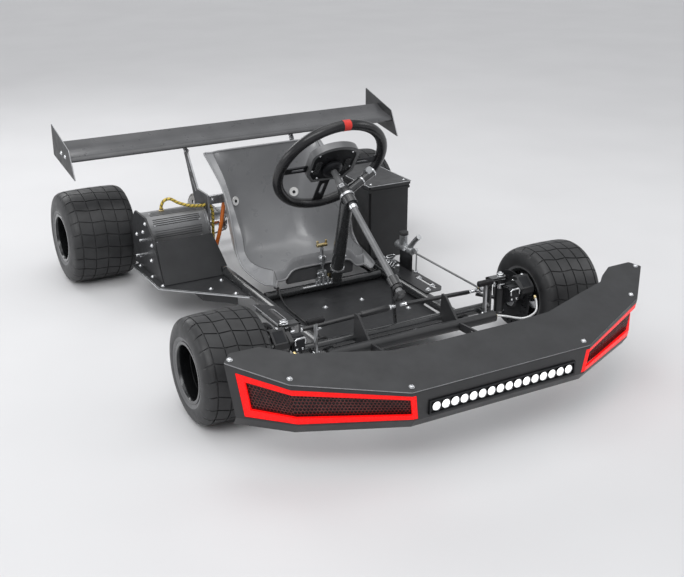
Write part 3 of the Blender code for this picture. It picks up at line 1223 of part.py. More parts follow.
def make_motor():
    inner = STRUT_OUTER + GAP
    barrel = across([finned_section()], -MOTOR_OUTER_X + MOTOR_END - 0.002, -inner - MOTOR_END + 0.002)
    ends = []
    for start in (-MOTOR_OUTER_X, -inner - MOTOR_END):
        ends.append(rod((start, MOTOR_Y, MOTOR_Z), (start + MOTOR_END, MOTOR_Y, MOTOR_Z), MOTOR_END_R,
                        MOTOR_FACETS))
    body = fuse(barrel, *ends)
    bore = rod((-inner - MOTOR_SHAFT_DEPTH, MOTOR_Y, MOTOR_Z), (-inner + 0.01, MOTOR_Y, MOTOR_Z),
               MOTOR_SHAFT_R + RUNNING_GAP, TUBE_SIDES)
    piece("motor_body", cut(body, bore), "black_alloy", (-MOTOR_OUTER_X, MOTOR_Y, MOTOR_Z))

    outer = MOTOR_OUTER_X + GAP + PLATE
    end_plate = [(0.655, SIDE_PLATE_Z + GAP), (0.915, SIDE_PLATE_Z + GAP), (0.915, 0.235), (0.880, 0.272),
                 (0.790, 0.272), (0.726, 0.222)]
    plate = across([end_plate], -outer, -MOTOR_OUTER_X - GAP)
    slope = Vector((0, GUARD_TOP[0] - GUARD_FOOT[0], GUARD_TOP[1] - GUARD_FOOT[1]))
    guard_frame = frame_at((0, *GUARD_FOOT), slope.cross(Vector((-1, 0, 0))), (1, 0, 0))
    beside_rail = RAIL_X + RAIL_R + GAP
    guard = flat([[(-outer, 0.002), (-beside_rail, 0.002), (-beside_rail, 0.027), (-0.205, 0.027),
                   (-0.232, slope.length), (-outer, slope.length)]], 0.0, SHEET, guard_frame)
    flange = box((-outer, GUARD_FOOT[0] - 0.001, SIDE_PLATE_Z + GAP),
                 (-0.230, GUARD_FOOT[0] + 0.020, SIDE_PLATE_Z + GAP + SHEET))
    piece("motor_bracket", fuse(plate, guard, flange), "satin_black_steel",
          (-outer, GUARD_FOOT[0], SIDE_PLATE_Z))


def sprocket_outline(radius, teeth):
    points = []
    for i in range(teeth):
        for share, r in ((-0.25, radius - TOOTH_DEPTH), (0.25, radius - SPROCKET_TIP)):
            angle = tau * (i + share) / teeth
            points.append((r * cos(angle), r * sin(angle)))
    return points


def make_rear_axle():
    """Live axle with its wheel hubs and the driven sprocket."""
    z, y = REAR_WHEEL_Z, REAR_AXLE_Y
    bodies = [rod((-AXLE_HALF, y, z), (AXLE_HALF, y, z), AXLE_R, TUBE_SIDES)]
    for side in (-1, 1):
        bodies.append(rod((REAR_HUB_X * side, y, z), ((REAR_HUB_X + HUB_FLANGE) * side, y, z),
                          HUB_FLANGE_R, TUBE_SIDES))
        bodies.append(rod(((REAR_HUB_X - 0.050) * side, y, z), ((REAR_HUB_X + 0.001) * side, y, z), 0.029,
                          TUBE_SIDES))
    matrix = frame_at((CHAIN_X, y, z), (1, 0, 0), (0, 1, 0))
    bodies.append(flat([sprocket_outline(AXLE_SPROCKET_R, AXLE_TEETH)], -SPROCKET_WIDTH / 2,
                       SPROCKET_WIDTH / 2, matrix))
    bodies.append(rod((CHAIN_X, y, z), (CHAIN_X + 0.022, y, z), 0.030, TUBE_SIDES))
    piece("rear_axle", fuse(*bodies), "grey_alloy", (0, y, z))


def make_motor_sprocket():
    z, y = MOTOR_Z, MOTOR_Y
    inner = STRUT_OUTER + GAP
    shaft_start = -inner - MOTOR_SHAFT_DEPTH + 0.002
    shaft = rod((shaft_start, y, z), (CHAIN_X + 0.012, y, z), MOTOR_SHAFT_R, TUBE_SIDES)
    matrix = frame_at((CHAIN_X, y, z), (1, 0, 0), (0, 1, 0))
    toothed = flat([sprocket_outline(MOTOR_SPROCKET_R, MOTOR_TEETH)], -SPROCKET_WIDTH / 2,
                   SPROCKET_WIDTH / 2, matrix)
    boss = rod((CHAIN_X - 0.014, y, z), (CHAIN_X, y, z), 0.016, TUBE_SIDES)
    piece("motor_sprocket", fuse(shaft, toothed, boss), "bright_steel", (CHAIN_X, y, z))


def chain_loop(extra):
    """Outline of the chain's path round both sprockets, in Y and Z, at a distance from the pitch line."""
    dy, dz = REAR_AXLE_Y - MOTOR_Y, REAR_WHEEL_Z - MOTOR_Z
    distance = sqrt(dy ** 2 + dz ** 2)
    lean = atan2(dz, dy)
    half = pi / 2 + asin((AXLE_SPROCKET_R - MOTOR_SPROCKET_R) / distance)
    points = []
    big, small = AXLE_SPROCKET_R + extra, MOTOR_SPROCKET_R + extra
    steps = 28
    for i in range(steps + 1):
        angle = lean - half + 2 * half * i / steps
        points.append((REAR_AXLE_Y + big * cos(angle), REAR_WHEEL_Z + big * sin(angle)))
    back = 2 * (pi - half)
    small_steps = 8
    for i in range(small_steps + 1):
        angle = lean + half + back * i / small_steps
        points.append((MOTOR_Y + small * cos(angle), MOTOR_Z + small * sin(angle)))
    return points


def make_chain():
    loop = across([chain_loop(CHAIN_DEPTH), chain_loop(GAP)], CHAIN_X - CHAIN_WIDTH / 2,
                  CHAIN_X + CHAIN_WIDTH / 2)
    piece("drive_chain", loop, "grey_alloy", (CHAIN_X, REAR_AXLE_Y, REAR_WHEEL_Z))


def make_motor_leads():
    """Braided lead from the motor through the strut, and the power cable from the seat bar to the strut."""
    wall = STRUT_INNER
    braid = [(-0.330, MOTOR_Y, MOTOR_Z + MOTOR_R + 0.0004), (-0.330, MOTOR_Y, 0.277), (-0.322, 0.860, 0.295),
             (-0.303, 0.855, 0.300), (-0.278, 0.848, 0.285), (-0.245, LEAD_HOLE[0], 0.274),
             (-0.215, LEAD_HOLE[0], 0.269), (-0.200, *LEAD_HOLE), (-wall + 0.002, *LEAD_HOLE),
             (-0.176, 0.836, 0.260), (-0.172, 0.832, 0.242), (-0.173, 0.831, 0.215), (-0.174, 0.831, 0.180),
             (-0.174, 0.832, 0.155), (-wall + 0.009, 0.834, 0.136), (-wall + 0.007, 0.834, 0.132),
             (-wall + GAP, 0.834, 0.132)]
    piece("motor_lead", tube(smooth_route(braid, 0.014), LEAD_R), "yellow_braid", (-0.330, MOTOR_Y, MOTOR_Z))
    bar_back = SEAT_ROWS[2][0][0] + SEAT_WALL + 3 * GAP + SEAT_BAR_DEPTH
    power = [(-0.124, bar_back + GAP, 0.285), (-0.124, bar_back + 0.009, 0.285), (-0.127, 0.8450, 0.267),
             (-0.138, 0.8360, 0.225), (-0.147, 0.8320, 0.190), (-0.155, 0.8320, 0.160),
             (-0.166, 0.8360, 0.122), (-wall + 0.012, 0.8400, 0.103), (-wall + GAP, 0.8400, 0.103)]
    piece("power_cable", tube(smooth_route(power, 0.014), CABLE_R), "orange_cable", power[0])


def make_battery_box():
    """Battery and controller box on the left side plate, with its lid."""
    inner = RAIL_X + RAIL_R + 0.0015
    low, split = SIDE_PLATE_Z + GAP, BOX_TOP_Z - BOX_LID
    case = box((inner, BOX_Y[0], low), (BOX_OUTER_X, BOX_Y[1], split + 0.001))
    lid = box((inner - 0.003, BOX_Y[0] - 0.004, split), (BOX_OUTER_X + 0.004, BOX_Y[1] + 0.004, BOX_TOP_Z))
    piece("battery_box", fuse(case, lid), "box_shell", (inner, BOX_Y[0], low))


clear_scene()
KART = bpy.data.collections.new("electric_go_kart")
bpy.context.scene.collection.children.link(KART)
make_rails()
make_rear_carrier()
make_front_axle_beam()
make_floor_pan()
make_side_plates()
make_nose_shell()
make_nose_top_plate()
make_lamp_frames()
make_grille()
make_lamp_bar()
make_nose_carrier()
make_wheels()
make_front_discs()
make_knuckles()
make_tie_rods()
make_brake_hoses()
make_steering_shaft()
make_steering_ring()
make_steering_hub()
make_wheel_buttons()
make_steering_post()
make_selector_lever()
make_pedals()
make_brake_line()
make_return_spring()
make_accelerator_lead()
make_seat()
make_seat_bar()
make_wing()
make_wing_struts()
make_motor()
make_rear_axle()
make_motor_sprocket()
make_chain()
make_motor_leads()
make_battery_box()
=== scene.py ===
from math import asin, atan, atan2, cos, hypot, pi, radians, sin, sqrt, tau

import bmesh
import bpy
from mathutils import Matrix, Vector
from mathutils.geometry import tessellate_polygon


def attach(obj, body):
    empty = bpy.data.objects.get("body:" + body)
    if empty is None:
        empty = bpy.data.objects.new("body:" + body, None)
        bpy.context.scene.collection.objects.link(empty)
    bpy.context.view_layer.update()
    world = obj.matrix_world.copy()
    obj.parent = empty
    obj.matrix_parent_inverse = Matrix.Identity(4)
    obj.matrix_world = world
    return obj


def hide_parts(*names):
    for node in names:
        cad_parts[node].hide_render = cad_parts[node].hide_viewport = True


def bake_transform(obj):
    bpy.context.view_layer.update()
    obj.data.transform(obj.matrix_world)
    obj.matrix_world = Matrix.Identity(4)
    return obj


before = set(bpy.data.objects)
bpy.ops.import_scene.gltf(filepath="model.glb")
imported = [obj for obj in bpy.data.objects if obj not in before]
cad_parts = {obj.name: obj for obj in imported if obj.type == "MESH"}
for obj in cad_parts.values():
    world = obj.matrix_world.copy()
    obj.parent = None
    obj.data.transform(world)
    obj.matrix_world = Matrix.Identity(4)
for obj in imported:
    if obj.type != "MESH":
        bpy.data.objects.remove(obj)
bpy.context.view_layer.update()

# Shared places, in metres from the middle of the front axle on the floor; the nose points along -Y

AXLE_SHIFT = Vector((0.0, -0.385, 0.0))
ACROSS, BACK, UP = Vector((1, 0, 0)), Vector((0, 1, 0)), Vector((0, 0, 1))
SIDES = (("right", -1), ("left", 1))
GAP = 0.0003
SHEET = 0.003
TUBE_WALL = 0.002
REAR_Y = 1.090
FRONT_R, FRONT_WIDTH, FRONT_FACE_X = 0.13682, 0.190, 0.600
REAR_R, REAR_WIDTH, REAR_FACE_X = 0.14872, 0.220, 0.596
BEAD_R, BEAD_INSET = 0.0735, 0.0068
HUB_X_FRONT, HUB_X_REAR = 0.4547, 0.4303
RAIL_X, RAIL_R, RAIL_Z = 0.210, 0.016, 0.107
RAIL_FRONT, RAIL_REAR = -0.022, 1.200
MID_Y, REAR_TUBE_Y, TUBE_R = 0.410, 1.182, 0.0125
BEAM_Z, BEAM_R, BEAM_HALF = 0.126, 0.014, 0.297
KINGPIN_X, YOKE_LOW, YOKE_HIGH, YOKE_THICK = 0.335, 0.100, 0.205, 0.006
DISC_X, DISC_R, DISC_THICK = 0.376, 0.080, 0.004
WHEEL_CENTRE = Vector((0.0, 0.367, 0.484))
RAKE = radians(34.0)
COLUMN_UP = Vector((0.0, cos(RAKE), sin(RAKE)))
WHEEL_UP = Vector((0.0, -sin(RAKE), cos(RAKE)))
RING_R, GRIP_R = 0.160, 0.015
NOSE_TIP, NOSE_CORNER, NOSE_FRONT = (0.606, -0.255), (0.499, -0.359), (0.253, -0.464)
NOSE_SLOPE, NOSE_CORNER_Z, NOSE_FOOT_Z = 0.323, 0.240, 0.132
NOSE_ANGLE = atan(NOSE_SLOPE)
WINDOW_OUTER, WINDOW_INNER = 0.590, 0.243
LAMP_HALF, LAMP_LOW, LAMP_HIGH, LAMP_FRONT = 0.208, 0.140, 0.175, -0.467
LAMPS = 16
CARRIER_Y, CARRIER_Z, CARRIER_R, CARRIER_HALF = -0.085, 0.138, 0.015, 0.255
STRUT_OUTER, STRUT_INNER = 0.1937, 0.1877
SIDE_PLATE_TOP = 0.100
MOTOR_Y, MOTOR_Z, MOTOR_R, MOTOR_OUT = 0.865, 0.195, 0.068, 0.4054
LEAD_X, LEAD_HOLE = -0.330, (0.838, 0.268)
CHAIN_X, PITCH = -0.125, 0.009525
BIG_TEETH, SMALL_TEETH = 49, 16
BIG_R, SMALL_R = PITCH / 2 / sin(pi / BIG_TEETH), PITCH / 2 / sin(pi / SMALL_TEETH)
TOOTH_HALF = 0.00225
PEDAL_X, PEDAL_Y = 0.262, -0.032
BRAKE_Z = 0.190
SELECTOR_X, SELECTOR_PIN_Z = -0.006, 0.146
BOX_X, BOX_Y, BOX_Z = (0.2275, 0.372), (0.530, 0.800), (0.1003, 0.347)
ROUND = 40


# Materials

def set_inputs(node, **values):
    """Set a node's plain inputs; an underscore stands for the space in an input's name."""
    for name, value in values.items():
        node.inputs[name.replace("_", " ")].default_value = value
    return node


def add_node(tree, kind, **values):
    return set_inputs(tree.nodes.new("ShaderNode" + kind), **values)


def new_material(name, **values):
    material = bpy.data.materials.new(name)
    material.use_nodes = True
    tree = material.node_tree
    return material, tree, set_inputs(tree.nodes["Principled BSDF"], **values)


def noise(tree, scale, detail=3.0, stretch=(1, 1, 1)):
    source = add_node(tree, "TexCoord")
    mapping = add_node(tree, "Mapping", Scale=stretch)
    texture = add_node(tree, "TexNoise", Scale=scale, Detail=detail)
    tree.links.new(source.outputs["Object"], mapping.inputs["Vector"])
    tree.links.new(mapping.outputs["Vector"], texture.inputs["Vector"])
    return texture.outputs["Fac"]


def between(tree, source, low, high):
    """Spread a noise's middle over a range."""
    node = add_node(tree, "MapRange", From_Min=0.3, From_Max=0.7, To_Min=low, To_Max=high)
    tree.links.new(source, node.inputs["Value"])
    return node.outputs["Result"]


def two_tone(tree, source, dark, light, low=0.3, high=0.7):
    node = add_node(tree, "ValToRGB")
    for element, place, colour in zip(node.color_ramp.elements, (low, high), (dark, light)):
        element.position = place
        element.color = (*colour, 1.0)
    tree.links.new(source, node.inputs["Fac"])
    return node.outputs["Color"]


def bump(tree, shader, source, strength, distance):
    node = add_node(tree, "Bump", Strength=strength, Distance=distance)
    tree.links.new(source, node.inputs["Height"])
    if shader.inputs["Normal"].links:
        tree.links.new(shader.inputs["Normal"].links[0].from_socket, node.inputs["Normal"])
    tree.links.new(node.outputs["Normal"], shader.inputs["Normal"])


def finish(name, dark, light, rough, metallic=0.0, patch=14.0, grain=900.0, depth=0.00008, strength=0.35,
           stretch=(1, 1, 1), coat=0.0, coat_rough=0.1):
    """A coated or bare surface: broad colour patches, uneven roughness and a fine grain."""
    material, tree, shader = new_material(name, Metallic=metallic, Coat_Weight=coat,
                                          Coat_Roughness=coat_rough)
    colour = two_tone(tree, noise(tree, patch, 6.0), dark, light, 0.32, 0.68)
    tree.links.new(colour, shader.inputs["Base Color"])
    tree.links.new(between(tree, noise(tree, patch * 3.1, 5.0, stretch), *rough), shader.inputs["Roughness"])
    bump(tree, shader, noise(tree, grain, 3.0, stretch), strength, depth)
    return material


def rubber(name, dark, light, rough):
    """Rubber: dusty patches, fine pores and faint scuffs."""
    material, tree, shader = new_material(name, Specular_IOR_Level=0.42)
    colour = two_tone(tree, noise(tree, 26.0, 8.0), dark, light, 0.34, 0.66)
    tree.links.new(colour, shader.inputs["Base Color"])
    tree.links.new(between(tree, noise(tree, 60.0, 6.0), *rough), shader.inputs["Roughness"])
    bump(tree, shader, noise(tree, 1400.0, 2.0), 0.35, 0.0001)
    bump(tree, shader, noise(tree, 120.0, 5.0), 0.20, 0.0004)
    return material


def glowing(name, base, glow, power, rough):
    """A lit plastic lens with a slightly uneven glow."""
    material, tree, shader = new_material(name, Base_Color=(*base, 1.0), Coat_Weight=0.1, Coat_Roughness=0.06,
                                          Specular_IOR_Level=0.2, Emission_Strength=power)
    dim = tuple(c * 0.72 for c in glow)
    tree.links.new(two_tone(tree, noise(tree, 45.0, 2.0), dim, glow), shader.inputs["Emission Color"])
    tree.links.new(between(tree, noise(tree, 90.0, 3.0), *rough), shader.inputs["Roughness"])
    bump(tree, shader, noise(tree, 700.0, 2.0), 0.12, 0.00005)
    return material


# Each finish: its material's name, dark and light colour, lowest and highest roughness, and what else it sets

FINISHES = {
    "satin": ("satin_black_powder", (0.015, 0.0155, 0.017), (0.025, 0.0255, 0.027), (0.36, 0.48),
              dict(grain=1500.0, depth=0.00012, strength=0.5, coat=0.15, coat_rough=0.35)),
    "plate": ("matte_dark_sheet", (0.019, 0.0195, 0.021), (0.029, 0.030, 0.032), (0.40, 0.54),
              dict(grain=1300.0, depth=0.00012, strength=0.5)),
    # Pale edge finish: partly bare cut metal, partly a painted highlight along sheet edges and the case lid's
    # trim
    "edge": ("cut_edge_painted_highlight", (0.30, 0.305, 0.315), (0.42, 0.425, 0.435), (0.28, 0.40),
             dict(metallic=0.7, patch=60.0, grain=700.0, depth=0.00005)),
    "tube_grey": ("grey_tube_coat", (0.13, 0.132, 0.136), (0.18, 0.182, 0.187), (0.28, 0.38),
                  dict(metallic=0.35, grain=500.0, depth=0.00006, strength=0.2, coat=0.4, coat_rough=0.15)),
    "white": ("pale_washer", (0.72, 0.72, 0.71), (0.82, 0.82, 0.81), (0.28, 0.38),
              dict(patch=50.0, grain=600.0, depth=0.00004, coat=0.3)),
    "motor": ("motor_alloy", (0.200, 0.202, 0.207), (0.260, 0.262, 0.268), (0.28, 0.38),
              dict(metallic=0.35, depth=0.0001, strength=0.4)),
    "hose_braid": ("steel_braid", (0.45, 0.455, 0.46), (0.66, 0.665, 0.67), (0.30, 0.44),
                   dict(metallic=0.8, patch=400.0, depth=0.0002, strength=0.6)),
    "gloss": ("gloss_black_paint", (0.016, 0.017, 0.018), (0.026, 0.027, 0.029), (0.20, 0.30),
              dict(grain=260.0, depth=0.0001, strength=0.12, coat=0.7, coat_rough=0.12)),
    "alloy": ("black_anodised_alloy", (0.022, 0.023, 0.025), (0.038, 0.039, 0.043), (0.26, 0.38),
              dict(metallic=0.75, grain=1100.0, strength=0.25)),
    "rim": ("dark_rim_alloy", (0.012, 0.013, 0.014), (0.024, 0.025, 0.027), (0.16, 0.27),
            dict(metallic=0.65, grain=300.0, depth=0.00006, strength=0.15, coat=0.5, coat_rough=0.12)),
    "grey": ("machined_alloy", (0.40, 0.41, 0.42), (0.56, 0.57, 0.58), (0.26, 0.40),
             dict(metallic=1.0, grain=700.0, depth=0.00006, stretch=(1, 8, 1))),
    "cast": ("cast_alloy", (0.30, 0.31, 0.32), (0.44, 0.45, 0.46), (0.38, 0.55),
             dict(metallic=0.9, grain=620.0, depth=0.0002, strength=0.5)),
    "bright": ("bright_zinc", (0.62, 0.63, 0.65), (0.80, 0.81, 0.82), (0.16, 0.28),
               dict(metallic=1.0, patch=60.0, grain=500.0, depth=0.00004)),
    "brass": ("yellow_zinc", (0.52, 0.40, 0.19), (0.70, 0.58, 0.32), (0.20, 0.34),
              dict(metallic=1.0, patch=70.0, grain=500.0, depth=0.00004)),
    "chain": ("oiled_steel", (0.16, 0.15, 0.14), (0.34, 0.33, 0.31), (0.22, 0.42),
              dict(metallic=1.0, patch=120.0, grain=500.0)),
    "wing": ("wing_coat", (0.055, 0.056, 0.059), (0.078, 0.079, 0.083), (0.26, 0.36),
             dict(strength=0.3, coat=0.3, coat_rough=0.2)),
    "seat": ("seat_laminate", (0.215, 0.218, 0.226), (0.260, 0.264, 0.272), (0.26, 0.34),
             dict(patch=7.0, grain=420.0, depth=0.00004, strength=0.12, coat=0.5, coat_rough=0.16)),
    # Seat's dark finish: on the crease lines it is painted crease shade; it also colours the block under the
    # front
    "seat_dark": ("seat_dark_and_crease_shade", (0.060, 0.061, 0.064), (0.095, 0.096, 0.100), (0.30, 0.42),
                  dict(patch=9.0, grain=420.0, depth=0.00005, strength=0.15, coat=0.4, coat_rough=0.2)),
    "red": ("red_button_plastic", (0.42, 0.010, 0.008), (0.55, 0.018, 0.012), (0.25, 0.36),
            dict(patch=40.0, grain=600.0, depth=0.00004, coat=0.5)),
    "band": ("red_band", (0.58, 0.022, 0.016), (0.72, 0.040, 0.028), (0.34, 0.46),
             dict(patch=50.0, grain=800.0, depth=0.0001)),
    "orange": ("orange_jacket", (0.80, 0.17, 0.020), (0.92, 0.25, 0.040), (0.30, 0.42),
               dict(patch=40.0, grain=700.0, depth=0.0001, coat=0.2)),
    "yellow": ("yellow_braid", (0.62, 0.44, 0.060), (0.80, 0.62, 0.120), (0.48, 0.62),
               dict(patch=80.0, depth=0.0001)),
    "braid_dark": ("dark_braid", (0.020, 0.020, 0.022), (0.045, 0.044, 0.042), (0.50, 0.64),
                   dict(patch=80.0, depth=0.0001)),
    "box": ("moulded_case", (0.012, 0.0125, 0.0135), (0.022, 0.0225, 0.024), (0.42, 0.58),
            dict(patch=10.0, grain=1100.0, depth=0.00018, strength=0.6)),
    # Grille mesh: its red tint is painted red glow from the lamp frames, not a red mesh
    "mesh_painted_glow": ("mesh_painted_red_glow", (0.105, 0.030, 0.030), (0.190, 0.062, 0.058), (0.20, 0.34),
                  dict(metallic=0.7, patch=30.0, grain=700.0)),
    "reflector": ("lamp_reflector", (0.55, 0.56, 0.58), (0.75, 0.76, 0.78), (0.12, 0.22),
                  dict(metallic=1.0, patch=90.0, grain=400.0, depth=0.00003)),
}
RUBBERS = {
    "tyre": ("tyre_rubber", (0.018, 0.0185, 0.0195), (0.029, 0.0295, 0.031), (0.38, 0.50)),
    "sidewall": ("tyre_sidewall", (0.100, 0.101, 0.104), (0.140, 0.141, 0.145), (0.34, 0.46)),
    "hose": ("hose_rubber", (0.010, 0.010, 0.011), (0.020, 0.020, 0.022), (0.32, 0.44)),
    "grip": ("grip_skin", (0.011, 0.011, 0.012), (0.019, 0.019, 0.021), (0.18, 0.28)),
}
GLOWS = {
    "frame_glow": ("lit_red_frame", (0.50, 0.003, 0.003), (1.0, 0.006, 0.006), 0.85, (0.20, 0.32)),
    "lamp_glow": ("lit_white_lamp", (0.9, 0.9, 0.9), (1.0, 0.985, 0.96), 1.6, (0.10, 0.2)),
}
PAINT = {key: finish(*look, **more) for key, (*look, more) in FINISHES.items()}
PAINT.update({key: rubber(*look) for key, look in RUBBERS.items()})
PAINT.update({key: glowing(*look) for key, look in GLOWS.items()})


# Meshes

def mesh_from(vertices, faces):
    mesh = bpy.data.meshes.new("form")
    mesh.from_pydata([tuple(v) for v in vertices], [], faces)
    mesh.validate()
    return mesh


def placed(origin, z_axis, x_hint=ACROSS):
    """A matrix at a place, with its Z along an axis and its X near a hint."""
    z = Vector(z_axis).normalized()
    x = Vector(x_hint) - z * Vector(x_hint).dot(z)
    if x.length < 1e-5:
        x = BACK - z * z.y
    x.normalize()
    matrix = Matrix((x, z.cross(x), z)).transposed().to_4x4()
    matrix.translation = Vector(origin)
    return matrix


def lathe(profile, matrix, steps=ROUND):
    """Turn a closed loop of (radius, height) points about local Z."""
    vertices, rings = [], []
    for r, h in profile:
        if r < 1e-6:
            rings.append([len(vertices)] * steps)
            vertices.append(matrix @ Vector((0, 0, h)))
            continue
        rings.append([len(vertices) + i for i in range(steps)])
        vertices += [matrix @ Vector((*around(r, tau * i / steps), h)) for i in range(steps)]
    faces = []
    for a, b in zip(rings, rings[1:] + rings[:1]):
        for i in range(steps):
            j = (i + 1) % steps
            face = list(dict.fromkeys((a[i], a[j], b[j], b[i])))
            if len(face) > 2:
                faces.append(face)
    return mesh_from(vertices, faces)


def around(radius, angle):
    return radius * cos(angle), radius * sin(angle)


def turned(profile, origin, axis, steps=ROUND):
    return lathe(profile, placed(origin, axis), steps)


def collar(origin, axis, inner, outer, length, cut, steps=ROUND):
    """A ring whose outer corners are cut by (across, along)."""
    in_by, on_by = cut
    return turned([(inner, 0), (outer - in_by, 0), (outer, on_by), (outer, length - on_by),
                   (outer - in_by, length), (inner, length)], origin, axis, steps)


def round_bar(start, end, radius, steps=ROUND, edge=0.0006):
    """A solid rod with softened ends."""
    start, end = Vector(start), Vector(end)
    length = (end - start).length
    edge = min(edge, radius / 2, length / 2)
    return collar(start, end - start, 0, radius, length, (edge, edge), steps)


def pipe(start, end, radius, wall=TUBE_WALL, steps=ROUND):
    """A hollow tube with open ends."""
    start, end = Vector(start), Vector(end)
    return collar(start, end - start, radius - wall, radius, (end - start).length, (0.0005, 0.0005), steps)


def curve_point(p0, p1, p2, p3, t):
    """A point between p1 and p2 on a smooth curve through all four."""
    return 0.5 * ((2 * p1) + (p2 - p0) * t + (2 * p0 - 5 * p1 + 4 * p2 - p3) * t * t
                  + (3 * p1 - p0 - 3 * p2 + p3) * t ** 3)


def line_length(line):
    return sum((b - a).length for a, b in zip(line, line[1:]))


def evenly(line, count):
    """Points that part a line into equal lengths, without its last one."""
    spaced, travelled, step = [line[0]], 0.0, line_length(line) / count
    for a, b in zip(line, line[1:]):
        length = (b - a).length
        while length > 0 and travelled + length >= step * len(spaced) - 1e-9 and len(spaced) < count:
            spaced.append(a.lerp(b, (step * len(spaced) - travelled) / length))
        travelled += length
    return spaced


def smooth_line(points, step, closed=False):
    """Points at an even spacing on a smooth curve through the given ones."""
    points = [Vector(p) for p in points]
    if closed:
        padded = [points[-1], *points, *points[:2]]
    else:
        padded = [points[0], *points, points[-1]]
    dense = [curve_point(*padded[i:i + 4], k / 16) for i in range(len(padded) - 3) for k in range(16)]
    dense.append(padded[-2])
    spaced = evenly(dense, max(int(round(line_length(dense) / step)), 2))
    return spaced if closed else spaced + [dense[-1]]


def frames_along(points, closed=False):
    """A steady pair of side directions at each point of a path."""
    count = len(points)
    tangents = []
    for i in range(count):
        before = points[(i - 1) % count] if closed or i > 0 else points[i]
        after = points[(i + 1) % count] if closed or i < count - 1 else points[i]
        tangents.append((after - before).normalized())
    side = tangents[0].orthogonal().normalized()
    result = []
    for tangent in tangents:
        side = (side - tangent * side.dot(tangent)).normalized()
        result.append((side, tangent.cross(side)))
    return result


def sweep(points, radius, sides=16, closed=False, shape=None):
    """A round bar along a path; shape(angle, place) scales its radius."""
    points = [Vector(p) for p in points]
    vertices, faces = [], []
    count = len(points)
    for i, (point, (u, v)) in enumerate(zip(points, frames_along(points, closed))):
        for k in range(sides):
            angle = tau * k / sides
            r = radius if shape is None else radius * shape(angle, i)
            vertices.append(point + (u * cos(angle) + v * sin(angle)) * r)
    for i in range(count if closed else count - 1):
        a, b = i * sides, ((i + 1) % count) * sides
        for k in range(sides):
            j = (k + 1) % sides
            faces.append((a + k, a + j, b + j, b + k))
    if not closed:
        faces.append(tuple(range(sides))[::-1])
        faces.append(tuple((count - 1) * sides + k for k in range(sides)))
    return mesh_from(vertices, faces)


def bevelled(mesh, width, angle, segments, wanted=None):
    """Turn the faces outward and bevel the wanted edges that are sharper than an angle."""
    work = bmesh.new()
    work.from_mesh(mesh)
    bmesh.ops.recalc_face_normals(work, faces=work.faces)
    if width > 0:
        sharp = [e for e in work.edges if len(e.link_faces) == 2 and e.calc_face_angle(0.0) > radians(angle)
                 and (wanted is None or wanted(e))]
        bmesh.ops.bevel(work, geom=sharp, offset=width, segments=segments, affect="EDGES", clamp_overlap=True)
    work.to_mesh(mesh)
    work.free()
    return mesh


def ring_points(centre, radius, count, phase=0.0):
    places = [around(radius, phase + tau * i / count) for i in range(count)]
    return [(centre[0] + x, centre[1] + y) for x, y in places]


def slot_points(centre, length, width, angle=0.0, steps=7):
    """Outline of a slot with round ends."""
    points, reach = [], (length - width) / 2
    for end, start in ((1, -pi / 2), (-1, pi / 2)):
        for i in range(steps):
            turn = start + pi * i / (steps - 1)
            x, y = end * reach + width / 2 * cos(turn), width / 2 * sin(turn)
            points.append((centre[0] + x * cos(angle) - y * sin(angle),
                           centre[1] + x * sin(angle) + y * cos(angle)))
    return points


def corners(left, low, right, high):
    return [(left, low), (right, low), (right, high), (left, high)]


def mirrored(points):
    """Points of one side, and back again on the other."""
    return points + [(-x, y) for x, y in reversed(points)]


def rounded(outline, radius, steps=4):
    """Round the corners of an outline."""
    result, count = [], len(outline)
    for i in range(count):
        here, back, on = (Vector(outline[k % count]) for k in (i, i - 1, i + 1))
        a, b = (back - here), (on - here)
        reach = min(radius, a.length * 0.45, b.length * 0.45)
        start, end = here + a.normalized() * reach, here + b.normalized() * reach
        for k in range(steps + 1):
            t = k / steps
            point = start * (1 - t) ** 2 + here * 2 * t * (1 - t) + end * t * t
            result.append((point.x, point.y))
    return result


def plate(outlines, low, high, matrix=Matrix(), bevel=0.0005):
    """A flat plate with holes: outlines in local X and Y, thickness along local Z."""
    loops = [[Vector((x, y, 0)) for x, y in outline] for outline in outlines]
    flat = [point for loop in loops for point in loop]
    total = len(flat)
    vertices = [matrix @ Vector((p.x, p.y, z)) for z in (low, high) for p in flat]
    faces = []
    for a, b, c in tessellate_polygon(loops):
        faces += [(a + total, b + total, c + total), (c, b, a)]
    start = 0
    for loop in loops:
        for i in range(len(loop)):
            a, b = start + i, start + (i + 1) % len(loop)
            faces.append((a, b, b + total, a + total))
        start += len(loop)
    flat_on = matrix.inverted().to_3x3()

    def in_face(edge):
        return abs((flat_on @ (edge.verts[1].co - edge.verts[0].co)).normalized().z) < 0.5
    return bevelled(mesh_from(vertices, faces), bevel, 60.0, 1, in_face)


def across(outlines, low, high, bevel=0.0005):
    """A plate that stands across the kart: outlines in Y and Z, thickness along X."""
    return plate(outlines, low, high, Matrix(((0, 0, 1, 0), (1, 0, 0, 0), (0, 1, 0, 0), (0, 0, 0, 1))), bevel)


def on_side(side, near, far):
    """Lowest and highest X of what lies between two distances on one side."""
    return sorted((side * near, side * far))


def block(low, high, bevel=0.0015, matrix=Matrix(), segments=3):
    """A box with rounded edges."""
    points = [(x, y, z) for x in (low[0], high[0]) for y in (low[1], high[1]) for z in (low[2], high[2])]
    faces = [(0, 1, 3, 2), (4, 6, 7, 5), (0, 4, 5, 1), (2, 3, 7, 6), (0, 2, 6, 4), (1, 5, 7, 3)]
    return bevelled(mesh_from([matrix @ Vector(p) for p in points], faces), bevel, 30.0, segments)


def helix(centre, axis, radius, length, turns, wire, sides=10):
    matrix = placed(centre, axis)
    count = turns * 20
    points = [matrix @ Vector((*around(radius, tau * i / 20), length * i / count)) for i in range(count + 1)]
    return sweep(points, wire, sides)


